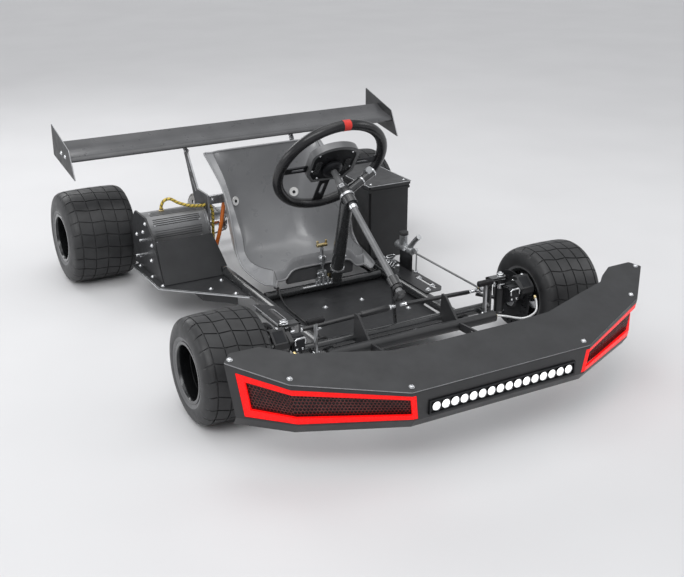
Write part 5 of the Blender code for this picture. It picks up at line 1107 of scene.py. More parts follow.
def make_side_plates():
    """Finish of the side plates, with the rolled wire along their outer edge and their screws."""
    rail_side = RAIL_X + sqrt(RAIL_R ** 2 - 0.007 ** 2) + GAP
    edge = [(rail_side + 0.003, 0.4435), (0.4345, 0.6355), (0.4345, 0.8695)]
    for name, side in SIDES:
        dress(f"side_plate_{name}", "plate", 0.0009, 2, True)
        rolled = sweep([(x * side, y, SIDE_PLATE_TOP - 0.0015) for x, y in edge], 0.0017, 12)
        hem = sweep([((x - 0.004) * side, y + 0.003, SIDE_PLATE_TOP + 0.0002) for x, y in edge], 0.0006, 8)
        places = [(0.300, 0.560), (0.415, 0.652), (0.415, 0.850), (0.250, 0.490)]
        if side < 0:
            places += [(0.245, 0.610), (0.415, 0.740)]
        heads, rings = screws_on([(x * side, y, SIDE_PLATE_TOP) for x, y in places], UP, 0.0082, 0.0009,
                                 0.0056)
        assemble(f"side_plate_edge_{name}", "chassis", [([rolled, hem] + rings, "grey"), (heads, "bright")])


def make_nose_carrier():
    """Cross tube in front of the beam, its hangers, and the drilled arms that hold the lamp bar."""
    bodies = [pipe((-CARRIER_HALF, CARRIER_Y, CARRIER_Z), (CARRIER_HALF, CARRIER_Y, CARRIER_Z), CARRIER_R)]
    front = LAMP_FRONT + 0.030 + GAP
    hanger = [(-0.010, BEAM_Z + 0.076), (-0.028, BEAM_Z + 0.074), (CARRIER_Y, CARRIER_Z + 0.012),
              (CARRIER_Y, CARRIER_Z - 0.012), (-0.018, BEAM_Z - 0.004), (-0.0060, BEAM_Z + 0.0130)]
    arm = [(CARRIER_Y, CARRIER_Z - 0.010), (CARRIER_Y, CARRIER_Z + 0.010), (front, LAMP_HIGH - 0.004),
           (front, LAMP_LOW + 0.004)]
    holes = [ring_points((y, CARRIER_Z + (y - CARRIER_Y) * -0.06), 0.0058 - 0.002 * (k % 2), 16)
             for k, y in enumerate((-0.150, -0.220, -0.290, -0.360))]
    plugs = []
    for side in (-1, 1):
        low, high = on_side(side, 0.132, 0.138)
        bodies += [across([rounded(hanger, 0.003)], low, high),
                   across([rounded(arm, 0.002)] + holes, low, high)]
        plugs.append(round_bar((side * CARRIER_HALF, CARRIER_Y, CARRIER_Z),
                               (side * (CARRIER_HALF - 0.012), CARRIER_Y, CARRIER_Z), CARRIER_R - 0.0022, 28))
    assemble("nose_carrier_tube", "chassis", [(bodies, "satin"), (plugs, "box")], ["nose_carrier"])


# Steering

WHEEL_PLANE = placed(WHEEL_CENTRE, COLUMN_UP, WHEEL_UP.cross(COLUMN_UP))
PANEL_HALF = 0.011
BUTTON_X, BUTTON_Y = 0.045, 0.022


def on_wheel(x, y, height=0.0):
    return WHEEL_PLANE @ Vector((x, y, height))


def make_steering_ring():
    """Grip ring with thumb swells beside the spokes, and the red band at twelve o'clock."""
    steps, sides = 160, 24
    vertices, faces = [], []
    for i in range(steps):
        angle = tau * i / steps
        swell = 1.0 + 0.035 * sum(max(0.0, cos(angle - a)) ** 40 for a in (0.35, pi - 0.35))
        for k in range(sides):
            turn = tau * k / sides
            finger = 1.0 - 0.010 * (0.5 + 0.5 * cos(angle * 44)) * max(0.0, -sin(turn))
            r = GRIP_R * min(swell, 1.03) * finger * 0.985
            vertices.append(on_wheel(*around(RING_R + r * cos(turn), angle), r * sin(turn)))
            a, b, j = i * sides, ((i + 1) % steps) * sides, (k + 1) % sides
            faces.append((a + k, b + k, b + j, a + j))
    ring = mesh_from(vertices, faces)
    half = 0.0105 / RING_R
    band = sweep([on_wheel(*around(RING_R, pi / 2 + half * (k / 4 - 1))) for k in range(9)], GRIP_R * 1.012,
                 32)
    seams = []
    for edge in (-1, 1):
        angle = pi / 2 + edge * half * 1.06
        along = WHEEL_PLANE.to_3x3() @ Vector((-sin(angle), cos(angle), 0))
        profile = [(GRIP_R * share, h) for share,
                   h in ((0.97, -0.0004), (1.016, -0.0004), (1.016, 0.0004), (0.97, 0.0004))]
        seams.append(turned(profile, on_wheel(*around(RING_R, angle)), along))
    assemble("steering_grip", "steering", [(ring, "grip"), (band, "band"), (seams, "braid_dark")],
             ["steering_ring"])


def panel_outline(half, side_y, foot_half, foot_y, arch_y, arch_tall):
    """An arch over a foot with cut corners."""
    arch = [(half * cos(radians(a)), arch_y + arch_tall * sin(radians(a))) for a in range(0, 181, 6)]
    return [(-half, side_y), (-foot_half, foot_y), (foot_half, foot_y), (half, side_y)] + arch


def hub_spokes():
    """Three slotted spokes, to the right, to the left and down."""
    reach = RING_R - GRIP_R + 0.002
    spokes = []
    for side in (-1, 1):
        left, right = on_side(side, 0.060, reach)
        spokes.append(((left, -0.011, right, 0.011), slot_points(((left + right) / 2, 0.0), 0.040, 0.008)))
    spokes.append(((-0.0154, -reach, 0.0154, -0.040), slot_points((0.0, -0.096), 0.044, 0.012, pi / 2)))
    return [plate([rounded(corners(*box), 0.004), hole], -0.0025, 0.0025, WHEEL_PLANE, 0.0008) for box,
            hole in spokes]


def hub_screws():
    """Screws of the panel's two faces, the hub's rear flange and the spokes' outer ends."""
    front, rear = PANEL_HALF - 0.0024, 0.0030 - PANEL_HALF
    screws = [(x, y, front, 1, 0.0040) for x, y in ring_points((0, 0.004), 0.0125, 3, pi / 2)]
    for x, y in ((0.052, 0.055), (0.060, -0.006), (0.036, -0.038)):
        for side in (-1, 1):
            screws += [(side * x, y, front, 1, 0.0032), (side * x, y, rear, -1, 0.0036)]
    screws += [(x, y, -PANEL_HALF - 0.0055, -1, 0.0030) for x, y in ring_points((0, 0), 0.026, 6, 0.3)]
    reach = RING_R - GRIP_R - 0.010
    for offset in (-0.006, 0.006):
        screws += [(end * reach, offset, 0.0025, 1, 0.0036) for end in (-1, 1)]
        screws.append((offset, -reach, 0.0025, 1, 0.0036))
    return [button_head(on_wheel(x, y, height), COLUMN_UP * facing, size) for x, y, height, facing,
            size in screws]


def make_steering_hub():
    """Arched control panel with raised edge, display recess, spokes, knobs and bolts."""
    half = PANEL_HALF
    outline = panel_outline(0.075, -0.020, 0.052, -0.050, 0.045, 0.040)
    inner = panel_outline(0.066, -0.016, 0.047, -0.043, 0.040, 0.034)
    panel = plate([[(x * 0.985, y * 0.985) for x, y in outline]], -half + 0.0030, half - 0.0022, WHEEL_PLANE,
                  0.0008)
    rim = plate([outline, inner[::-1]], -half, half, WHEEL_PLANE, 0.0011)
    pads = [plate([rounded(corners(x - 0.009, -0.018, x + 0.009, 0.030), 0.004)], -half + 0.0005, -half
                  + 0.0035,
                  WHEEL_PLANE, 0.0006) for x in (-0.046, 0.046)]
    glass = plate([rounded(corners(-0.030, 0.034, 0.030, 0.066), 0.004)], half - 0.0030, half - 0.0008,
                  WHEEL_PLANE, 0.0006)
    knob = [(0, 0.0085), (0.0048, 0.0085), (0.0056, 0.0075), (0.0060, 0.0010), (0.0072, 0.0), (0, 0)]
    cup = [(0.0074, -0.001), (0.0105, -0.001), (0.0105, 0.0010), (0.0098, 0.0018), (0.0082, 0.0018),
           (0.0074, 0.0010)]
    cap = [(0, 0.0082), (0.0040, 0.0080), (0.0062, 0.0070), (0.0069, 0.0054), (0.0069, 0.0), (0, 0)]
    knobs = [turned(knob, on_wheel(x, -0.020, half - 0.0024), COLUMN_UP, 28) for x in (-0.040, 0.0, 0.040)]
    cups = [turned(cup, on_wheel(x, BUTTON_Y, half - 0.0008), COLUMN_UP, 32) for x in (-BUTTON_X, BUTTON_X)]
    flange = lathe([(0, -half), (0.030, -half), (0.030, -half - 0.006), (0.022, -half - 0.012),
                    (0.0096, -half - 0.012), (0.0, -half - 0.006)], WHEEL_PLANE)
    assemble("steering_console", "steering",
             [([panel, flange] + hub_spokes(), "alloy"), (rim, "tube_grey"), (pads + [glass], "gloss"),
              (knobs, "box"),
              (hub_screws() + cups, "bright")], ["steering_hub"])
    for name, side in SIDES:
        button = turned(cap, on_wheel(-side * BUTTON_X, BUTTON_Y, half - 0.0044), COLUMN_UP, 32)
        assemble(f"push_button_{name}", f"button_{name}", [(button, "red")], [f"wheel_button_{name}"])


def make_steering_shaft():
    """Column shaft with its joint, sleeve, stop ring, pitman arm and end nut."""
    down = -COLUMN_UP
    shaft = round_bar(down_column(0.0235), down_column(0.466), 0.0094, 32)
    stop = turned([(0.0095, 0), (0.0130, 0), (0.0135, 0.0006), (0.0135, 0.0090), (0.0130, 0.0096),
                   (0.0095, 0.0096)],
                  down_column(0.4326), down, 32)
    outline = rounded(mirrored([(0.011, -0.010), (0.014, 0.021), (0.008, 0.029)]), 0.004)
    arm = plate([outline] + [ring_points((x, 0.021), 0.0030, 14) for x in (-0.0075, 0.0075)],
                0.454, 0.464, placed(WHEEL_CENTRE, down, -ACROSS), 0.0008)
    end_nut = hex_nut(down_column(0.464), down, 0.016, 0.0018)
    sleeve = turned([(0.0094, 0), (0.0118, 0.0006), (0.0118, 0.0114), (0.0094, 0.012)], down_column(0.152),
                    down, 32)
    joint = nut(down_column(0.077), down, 0.026, 0.014, 0.001)
    assemble("steering_column", "steering",
             [(shaft, "tube_grey"), ([stop, arm, end_nut], "satin"), ([sleeve, joint], "bright")],
             ["steering_shaft"])


def post_head():
    """Column sleeve with its ring, and the side arm with its rings, cap and clamp, by finish."""
    sleeve = pipe(down_column(0.094), down_column(0.145), 0.018, 0.0081, 44)
    rings = [turned([(0.0182, 0), (0.0205, 0), (0.0212, 0.0008), (0.0212, 0.0072), (0.0205, 0.008),
                     (0.0182, 0.008)],
                    down_column(0.112), -COLUMN_UP, 44)]
    start, end = down_column(0.1065), Vector((0.100, 0.300, 0.470))
    along = (end - start).normalized()
    arm = round_bar(start + along * 0.014, end, TUBE_R, 40, 0.0010)
    ring = [(TUBE_R, 0), (TUBE_R + 0.0014, 0.0004), (TUBE_R + 0.0014, 0.0046), (TUBE_R, 0.005)]
    rings += [turned(ring, end - along * d, along) for d in (0.007, 0.052)]
    rings.append(turned([(0, 0.0005), (0.0092, 0.0005), (0.0095, 0.0), (0.0, -0.0003)], end, along, 32))
    clamp = block((-0.009, -0.008, -0.010), (0.009, 0.008, 0.010), 0.0015,
                  placed(end - along * 0.020 + UP * 0.012, along))
    return [([sleeve, arm], "gloss"), (rings, "bright"), (clamp, "cast")]


def post_leg():
    """The leg from the mid cross tube up to the sleeve, with its band, weld and two screws."""
    foot, head = Vector((0.038, MID_Y, RAIL_Z + 0.004)), down_column(0.1195)
    lean = (head - foot).normalized()
    length = (head - lean * 0.0165 - foot).length
    leg = turned([(0, 0.0), (0.019, 0.0), (0.019, length - 0.012), (0.0165, length), (0, length)], foot, lean,
                 48)
    band = turned([(0.0190, 0), (0.0208, 0), (0.0212, 0.0008), (0.0212, 0.0052), (0.0208, 0.006),
                   (0.0190, 0.006)],
                  foot + lean * 0.058, lean, 44)
    weld = turned([(0.0172, -0.0022), (0.0205, 0.0004), (0.0185, 0.0040), (0.0172, 0.0040)], foot
                  + lean * 0.012, lean)
    screws = [button_head(foot + lean * up + Vector((0.0185, -0.004, 0)), (1, -0.2, 0.1), 0.005)
              for up in (0.045, 0.105)]
    return [([leg, weld], "gloss"), ([band] + screws, "bright")]


def selector_seat():
    """Saddle, cheeks and pivot pin of the selector on the cross tube, and the studs beside it."""
    x, top = SELECTOR_X, RAIL_Z + TUBE_R
    saddle = block((x - 0.0165, MID_Y - 0.013, top - 0.006), (0.030, MID_Y + 0.013, top + 0.010), 0.0012)
    cheek = rounded(corners(MID_Y - 0.010, top, MID_Y + 0.010, SELECTOR_PIN_Z + 0.010), 0.006)
    cheeks = [across([cheek], x + low, x + high) for low,
              high in (on_side(side, 0.0035, 0.0105) for side in (-1, 1))]
    pin = (x, MID_Y, SELECTOR_PIN_Z)
    bright = [round_bar((x - 0.0125, *pin[1:]), (x + 0.0125, *pin[1:]), 0.003, 16)]
    bright += hex_head((x - 0.0105, *pin[1:]), -ACROSS, 0.0095,
                       0.004) + hex_head((x + 0.0105, *pin[1:]), ACROSS, 0.0095, 0.003)
    ahead = MID_Y - 0.0185
    for stud_x, tall, radius in ((-0.034, 0.012, 0.0030), (-0.024, 0.024, 0.0044), (-0.012, 0.028, 0.0046),
                                 (0.003, 0.020, 0.0040), (0.016, 0.012, 0.0034)):
        bright.append(round_bar((stud_x, ahead, top - 0.004), (stud_x, ahead, top + tall), radius, 20))
    bright.append(round_bar((-0.078, ahead + 0.002, top - 0.003), (0.020, ahead + 0.002, top - 0.003), 0.0040,
                            20))
    brass = [round_bar((x + out, MID_Y + back, top + 0.010), (x + out, MID_Y + back, top + tall), radius, 16)
             for out, back, tall, radius in ((0.018, -0.006, 0.024, 0.0040), (0.024, 0.006, 0.018, 0.0034))]
    brass.append(hex_nut((x - 0.0115, MID_Y - 0.004, top + 0.0098), UP, 0.007, 0.003))
    return [([saddle] + cheeks, "cast"), (bright, "bright"), (brass, "brass")]


def make_steering_post():
    cross = pipe((-STRUT_OUTER, MID_Y, RAIL_Z), (STRUT_OUTER, MID_Y, RAIL_Z), TUBE_R)
    assemble("column_post", "chassis", post_head() + post_leg() + [(cross, "gloss")] + selector_seat(),
             ["steering_post"])


def make_selector():
    """Slotted blade with a collar, two prongs and a T handle."""
    x, y = SELECTOR_X, MID_Y
    outline = [(y - 0.0062, 0.142), (y, 0.1392), (y + 0.0062, 0.142), (y + 0.0044, 0.236),
               (y - 0.0044, 0.236)]
    blade = across([rounded(outline, 0.002), ring_points((y, SELECTOR_PIN_Z), 0.0033, 16),
                    slot_points((y, 0.190), 0.040, 0.0035, pi / 2)], x - 0.0031, x + 0.0031, 0.0006)
    grip = turned([(0, 0), (0.0046, 0), (0.0060, 0.0014), (0.0056, 0.010), (0.0060, 0.017), (0.0056, 0.024),
                   (0.0060, 0.0326), (0.0046, 0.034), (0, 0.034)], (x - 0.017, y, 0.234), ACROSS, 28)
    prongs = [round_bar((x + out, y, 0.234), (x + out, y, 0.249), 0.0034, 16, 0.0012)
              for out in (-0.014, 0.014)]
    ring = round_bar((x - 0.011, y, 0.192), (x + 0.011, y, 0.192), 0.0072, 24)
    collar_block = block((x - 0.0062, y - 0.0085, 0.172), (x + 0.0062, y + 0.0085, 0.203), 0.0014)
    assemble("selector_handle", "selector",
             [([blade, ring, collar_block], "bright"), ([grip] + prongs, "brass")],
             ["selector_lever"])


# Pedals and brake line

TRAY_LOW = RAIL_Z + RAIL_R + GAP
TRAY_TOP = TRAY_LOW + SHEET
CYLINDER_LENGTH = 0.088


def make_pedals():
    """Both pedals: a drilled stem and a ribbed foot bar; the accelerator has a bolt at its side."""
    for side, node, body in ((-1, "accelerator_pedal", "accelerator"), (1, "brake_pedal", "brake_lever")):
        x, y, z = PEDAL_X * side, PEDAL_Y, 0.214
        outline = [(y - 0.006, 0.123), (y, 0.1195), (y + 0.006, 0.123), (y + 0.006, z + 0.002),
                   (y - 0.004, z + 0.004)]
        stem = across([rounded(outline, 0.002), ring_points((y, BEAM_Z), 0.0034, 16)], x - 0.003, x + 0.003,
                      0.0007)
        bar = round_bar((x - 0.025, y + 0.002, z), (x + 0.025, y + 0.002, z), 0.0070, 28, 0.002)
        rib = [(0.0068, 0), (0.0086, 0.0006), (0.0089, 0.0016), (0.0086, 0.0026), (0.0068, 0.0032)]
        ribs = [turned(rib, (x - 0.0225 + 0.0034 * i, y + 0.002, z), ACROSS, 28) for i in range(13)]
        shapes = [(stem, "grey"), (bar, "alloy"), (ribs, "hose")]
        if side < 0:
            shapes.append((hex_head((x + 0.003, y + 0.001, BRAKE_Z), ACROSS, 0.008, 0.003), "bright"))
        assemble(f"{body}_arm", body, shapes, [node])


def make_brake_rod():
    x, z = PEDAL_X, BRAKE_Z
    start, end = PEDAL_Y + 0.0064, 0.362
    bar = round_bar((x, start + 0.012, z), (x, end, z), 0.0029, 20)
    clevis = [block((x - 0.0050, start, z - 0.0048), (x + 0.0050, start + 0.018, z + 0.0048), 0.0012),
              round_bar((x - 0.0066, start + 0.006, z), (x + 0.0066, start + 0.006, z), 0.0022, 14)]
    lock = nut((x, start + 0.0185, z), BACK, 0.009, 0.0045, 0.0004)
    assemble("brake_push_bar", "brake_push_rod", [(bar, "tube_grey"), (clevis, "bright"), (lock, "brass")],
             ["brake_rod"])


def cylinder_body():
    """Barrel, reservoir and lid, elbow and outlet of the master cylinder, by finish."""
    x, z, bore = PEDAL_X, BRAKE_Z, 0.0034
    barrel = turned([(bore, 0), (0.0105, 0), (0.012, 0.0015), (0.012, 0.020), (0.0108, 0.021),
                     (0.0108, 0.030),
                     (0.012, 0.031), (0.012, CYLINDER_LENGTH - 0.002), (0.0105, CYLINDER_LENGTH),
                     (0.0, CYLINDER_LENGTH), (0.0, 0.036), (bore, 0.034)], (x, 0.332, z), BACK, 36)
    spot = (x, 0.384, z + 0.009)
    pot = turned([(0, 0), (0.0120, 0), (0.0130, 0.004), (0.0130, 0.030), (0, 0.030)], spot, UP, 36)
    lid = turned([(0, 0.0300), (0.0140, 0.0300), (0.0140, 0.0385), (0.0125, 0.0405), (0, 0.0408)], spot, UP,
                 36)
    bend = [(x, 0.352, 0.196), (x, 0.338, 0.210), (x, 0.318, 0.231), (x, 0.300, 0.246)]
    elbow = sweep(smooth_line(bend, 0.004), 0.0078, 20)
    outlet = round_bar((x, 0.4195, z), (x, 0.4290, z), 0.0042, 16)
    return [(barrel, "cast"), ([pot, elbow], "grey"), (lid, "box"), (outlet, "brass")]


def make_master_cylinder():
    """Slotted tray on the rail with the cylinder on its upright, spring tabs, guide rod and bolts."""
    outline = [(0.204, 0.168), (0.255, 0.168), (0.272, 0.190), (0.272, 0.445), (0.204, 0.445)]
    base = plate([rounded(outline, 0.005), slot_points((0.250, 0.240), 0.110, 0.010, pi / 2)], TRAY_LOW,
                 TRAY_TOP,
                 bevel=0.0006)
    upright = across([rounded(corners(0.338, TRAY_LOW + 0.002, 0.400, BRAKE_Z), 0.002)], PEDAL_X - 0.003,
                     PEDAL_X + 0.003)
    tabs = [block((0.2135, y - 0.0015, TRAY_LOW + 0.001), (0.2295, y + 0.0015, 0.1485), 0.0008)
            for y in (0.355, 0.441)]
    foot = (0.2690, 0.322, TRAY_TOP)
    ball = [(0, -0.0046), (0.0033, -0.0033), (0.0046, 0), (0.0033, 0.0033), (0, 0.0046)]
    bright = [round_bar(foot, (0.2690, 0.322, 0.192), 0.0024, 16),
              turned(ball, (0.2695, 0.322, 0.197), UP, 20),
              washer(foot, UP, 0.0072, 0.0020, 0.0030)]
    for x, y in ((0.250, 0.205), (0.250, 0.275), (0.222, 0.185), (0.258, 0.430)):
        bright += [washer((x, y, TRAY_TOP), UP, 0.0080),
                   *hex_head((x, y, TRAY_TOP + 0.0010), UP, 0.0095, 0.0040)]
    bright += hex_head((PEDAL_X - 0.0125, 0.356, BRAKE_Z), -ACROSS, 0.008, 0.004)
    assemble("brake_cylinder", "chassis",
             [(base, "satin"), (upright, "alloy"), (tabs, "grey"), (bright, "bright")]
             + cylinder_body(), ["master_cylinder"])


def make_side_shelf():
    outline = [(-0.213, 0.135), (-0.213, 0.291), (-0.267, 0.333), (-0.267, 0.176)]
    shelf = plate([rounded(outline, 0.003), slot_points((-0.240, 0.235), 0.090, 0.018, pi / 2)], TRAY_LOW,
                  TRAY_TOP,
                  bevel=0.0009)
    pale_edges(assemble("side_shelf", "chassis", [(shelf, "plate")]), UP)


def make_pedal_spring():
    """Return spring between the tray's two tabs, with its hooks, loops and end ball."""
    x, z = 0.2215, 0.1405
    parts = [helix((x, 0.358, z), BACK, 0.0085, 0.080, 6, 0.0012)]
    for hook_y, end_y in ((0.3560, 0.358), (0.4340, 0.438)):
        parts.append(round_bar((x, hook_y, z), (x, hook_y + 0.0060, z), 0.0026, 14))
        parts.append(sweep([(x, end_y, z), (0.2300, end_y, z)], 0.0011, 10))
    for centre, tilt in (((0.228, 0.401, 0.160), 0.0), ((0.227, 0.398, 0.146), 0.1)):
        loop = slot_points((0, 0), 0.030, 0.012, tilt)
        parts.append(sweep([Vector(centre) + Vector((a, b * 0.8, b * 0.3)) for a, b in loop], 0.0016, 10,
                           True))
    ball = [(0, -0.006), (0.0042, -0.0042), (0.006, 0), (0.0042, 0.0042), (0, 0.006)]
    parts.append(turned(ball, (0.223, 0.351, 0.147), UP, 20))
    assemble("pedal_spring", "chassis", [(parts, "bright")], ["return_spring"])


def make_accelerator_lead():
    low = RAIL_Z - RAIL_R - GAP + 0.0045
    points = [(-0.2510, 0.0176, 0.1270), (-0.2400, 0.0200, 0.1300), (-0.2260, 0.0260, 0.1310),
              (-0.2080, 0.0340, 0.1300), (-0.1880, 0.0500, 0.1190), (-0.1780, 0.0700, 0.1030),
              (-0.1720, 0.1050, low), (-0.1640, 0.2200, low), (-0.1600, 0.3300, low),
              (-0.1570, 0.3800, 0.1090),
              (-0.1500, MID_Y, 0.1255), (-0.1400, 0.4400, 0.1090), (-0.1230, 0.4700, low),
              (-0.1200, 0.5000, 0.0900)]
    route = smooth_line(points, 0.005)
    boot = turned([(0, 0), (0.0046, 0), (0.0046, 0.010), (0.0030, 0.022), (0, 0.022)], points[0],
                  route[2] - route[0], 20)
    tie = [(0.0026, -0.0014), (0.0036, -0.0014), (0.0036, 0.0014), (0.0026, 0.0014)]
    ties = [turned(tie, route[i], route[i + 1] - route[i - 1], 18) for i in (24, 44, 62)]
    assemble("pedal_lead", "chassis", [([sweep(route, 0.0026, 14), boot], "hose"), (ties, "box")],
             ["accelerator_lead"])


# Seat: centre, edge and flange of each cross row, and its hump, from the top of the back to the front lip

SEAT_ROWS = [
    ((0.802, 0.447), (0.180, 0.790, 0.447), (0.200, 0.812, 0.442), 0.0),
    ((0.818, 0.370), (0.180, 0.700, 0.382), (0.200, 0.690, 0.375), 0.0),
    ((0.822, 0.290), (0.180, 0.640, 0.306), (0.200, 0.634, 0.310), 0.0),
    ((0.805, 0.200), (0.180, 0.587, 0.236), (0.200, 0.602, 0.230), 0.0),
    ((0.760, 0.125), (0.180, 0.571, 0.190), (0.200, 0.587, 0.186), 0.0),
    ((0.680, 0.090), (0.178, 0.535, 0.172), (0.200, 0.550, 0.155), 0.0),
    ((0.580, 0.090), (0.172, 0.480, 0.172), (0.195, 0.480, 0.142), 0.0),
    ((0.500, 0.108), (0.160, 0.455, 0.172), (0.185, 0.430, 0.138), 0.004),
    ((0.452, 0.140), (0.152, 0.443, 0.171), (0.176, 0.416, 0.139), 0.045),
    ((0.432, 0.168), (0.150, 0.438, 0.170), (0.170, 0.408, 0.140), 0.036),
    ((0.425, 0.140), (0.146, 0.425, 0.142), (0.160, 0.404, 0.132), 0.030),
]
SEAT_FRACTIONS = (0.0, 0.28, 0.50, 0.665, 0.80, 0.90, 0.97, 1.0)
SEAT_HUMP = (1.0, 1.0, 0.98, 0.80, 0.10, 0.0, 0.0, 0.0)
SEAT_LIP = 3
SEAT_WALL = 0.004
SEAT_BAR_Y = SEAT_ROWS[2][0][0] + SEAT_WALL + 3 * GAP
SEAT_BAR_DEPTH, SEAT_BAR_Z = 0.005, 0.285


def seat_row(row):
    (y0, z0), (xe, ye, ze), flange, hump = row
    points = []
    for fraction, lift in zip(SEAT_FRACTIONS, SEAT_HUMP):
        rise = 1 - sqrt(1 - fraction ** 4)
        points.append(Vector((xe * fraction, y0 + (ye - y0) * rise, z0 + (ze - z0) * rise + hump * lift)))
    return points + [Vector(flange)]


def refined(line, factor):
    """Extra points on a gentle curve through the given ones."""
    padded = [line[0], *line, line[-1]]
    result = []
    for i in range(len(line) - 1):
        for k in range(factor):
            straight = line[i].lerp(line[i + 1], k / factor)
            result.append(curve_point(*padded[i:i + 4], k / factor).lerp(straight, 0.25))
    return result + [line[-1]]


def flipped(point):
    return Vector((-point.x, point.y, point.z))


def seat_grid():
    factor = 5
    rows = []
    for row in SEAT_ROWS:
        half = seat_row(row)
        inner = refined([flipped(p) for p in reversed(half[:-1])] + half[1:-1], factor)
        lip = refined([flipped(half[-1]), inner[0]], SEAT_LIP)[:-1]
        rows.append(lip + inner + refined([inner[-1], half[-1]], SEAT_LIP)[1:])
    columns = [refined([row[k] for row in rows], factor) for k in range(len(rows[0]))]
    return [[column[i] for column in columns] for i in range(len(columns[0]))]


def seat_bolt(side):
    """Place and forward normal of a seat bolt on the shell's back."""
    first, second = seat_row(SEAT_ROWS[2]), seat_row(SEAT_ROWS[3])

    def at(u, v):
        return first[2].lerp(first[3], v).lerp(second[2].lerp(second[3], v), u)
    point = at(0.17, 0.5)
    normal = (at(0.27, 0.5) - point).cross(at(0.17, 0.6) - point).normalized()
    if normal.y > 0:
        normal = -normal
    return (point, normal) if side > 0 else (flipped(point), flipped(normal))


def make_seat():
    """One-piece shell with a rolled edge, a thin bead along each crease painted dark as the crease's shade,
    and the dark block under its front.
    """
    grid = seat_grid()
    shell = solid_grid(grid, SEAT_WALL)
    border = [row[0] for row in grid] + grid[-1][1:-1] + [row[-1]
                                                          for row in reversed(grid)] + grid[0][-2:0:-1]
    bead = sweep(smooth_line(border, 0.006, True), 0.0031, 12, True)
    # Thin lines along the creases, painted dark as the shade in each crease
    seams = [sweep(smooth_line([row[column] for row in grid], 0.006), 0.0012, 8)
             for column in (SEAT_LIP, -1 - SEAT_LIP)]
    assemble("bucket_seat", "chassis", [([shell, bead], "seat"), (seams, "seat_dark")], ["seat_shell"],
             60.0)
    front_y, front_z = SEAT_ROWS[-1][0]
    face = block((-0.112, front_y + 0.005, RAIL_Z + TUBE_R + 0.002),
                 (0.112, front_y + 0.017, front_z + 0.024), 0.003)
    assemble("seat_front_block", "chassis", [(face, "seat_dark")])


def make_seat_bar():
    """Bar behind the seat, bolted to the struts, and the seat's bolts with their broad washers."""
    half = STRUT_INNER - GAP
    bright = [block((-half, SEAT_BAR_Y, SEAT_BAR_Z - 0.015),
                    (half, SEAT_BAR_Y + SEAT_BAR_DEPTH, SEAT_BAR_Z + 0.015))]
    ring = [(0.0042, 0.0015), (0.0138, 0.0013), (0.0150, 0.0022), (0.0138, 0.0040), (0.0042, 0.0034)]
    white, dark = [], []
    for side in (-1, 1):
        point, normal = seat_bolt(side)
        white.append(turned(ring, point, normal))
        dark.append(button_head(point + normal * 0.0033, normal, 0.0052))
        bright.append(round_bar(point - normal * 0.022, point + normal * 0.003, 0.0039, 16))
        bright += hex_head((side * 0.172, SEAT_BAR_Y, SEAT_BAR_Z), -BACK, 0.010, 0.004)
    assemble("seat_clamp_bar", "chassis", [(bright, "bright"), (white, "white"), (dark, "alloy")],
             ["seat_bar"])


# Wing

BLADE_HALF = 0.5732
END_PLATE_X = (0.5736, 0.5765)
BLADE_TOP = [(0.961, 0.431), (0.968, 0.439), (0.985, 0.4435), (1.005, 0.4475), (1.030, 0.4545),
             (1.062, 0.4700)]
BLADE_UNDER = [(1.064, 0.4665), (1.053, 0.4405), (1.035, 0.4285), (1.010, 0.4215), (0.985, 0.4205),
               (0.966, 0.4245)]


def make_wing():
    outline = [(p.y, p.z) for line in (BLADE_TOP, BLADE_UNDER)
               for p in smooth_line([(0, y, z) for y, z in line], 0.004)]
    blade = across([outline], -BLADE_HALF, BLADE_HALF, 0.0)
    rib = sweep([(x, 0.9625, 0.4295) for x in (0.0002 - BLADE_HALF, BLADE_HALF - 0.0002)], 0.0019, 12)
    assemble("wing_aerofoil", "chassis", [([blade, rib], "wing")], ["wing_blade"], 25.0)
    end = rounded([(0.922, 0.377), (0.968, 0.463), (1.145, 0.512), (1.145, 0.410)], 0.006)
    for name, side in SIDES:
        sheet = across([end], *on_side(side, *END_PLATE_X), 0.0007)
        places = [(side * END_PLATE_X[1], y, z) for y, z in ((1.046, 0.438), (1.006, 0.435))]
        heads, rings = screws_on(places, (side, 0, 0), 0.0070, 0.0010, 0.0054)
        made = assemble(f"wing_end_{name}", "chassis", [(sheet, "plate"), (heads + rings, "bright")],
                        [f"end_plate_{name}"])
        pale_edges(made, ACROSS)


def make_struts():
    """Raked plates that hold the wing, with their holes, slots and bolts."""
    outline = [(0.815, 0.091), (0.930, 0.091), (0.930, 0.125), (0.925, 0.258), (1.010, 0.4212),
               (0.985, 0.4202),
               (0.900, 0.305), (0.815, 0.305)]
    rake = atan((0.4205 - 0.305) / (0.985 - 0.900))
    holes = [ring_points((MOTOR_Y, MOTOR_Z), 0.0275, 40), ring_points(LEAD_HOLE, 0.0074, 24)]
    holes += [slot_points(centre, 0.050, 0.008, rake) for centre in ((0.9265, 0.315), (0.9645, 0.369))]
    for name, side in SIDES:
        strut = across([rounded(outline, 0.005, 3)] + holes, *on_side(side, STRUT_INNER, STRUT_OUTER), 0.0009)
        bolts = []
        for y, z in ((0.835, RAIL_Z), (0.905, RAIL_Z), (0.905, 0.230), (0.988, 0.409)):
            inside = (side * STRUT_INNER, y, z)
            bolts += [*hex_head(inside, (-side, 0, 0), 0.010, 0.0045), washer(inside, (-side, 0, 0), 0.0076)]
            if z > 0.2:
                bolts.append(button_head((side * STRUT_OUTER, y, z), (side, 0, 0), 0.0056))
        made = assemble(f"raked_strut_{name}", "chassis", [(strut, "plate"), (bolts, "bright")],
                        [f"wing_strut_{name}"])
        pale_edges(made, ACROSS)


# Drive

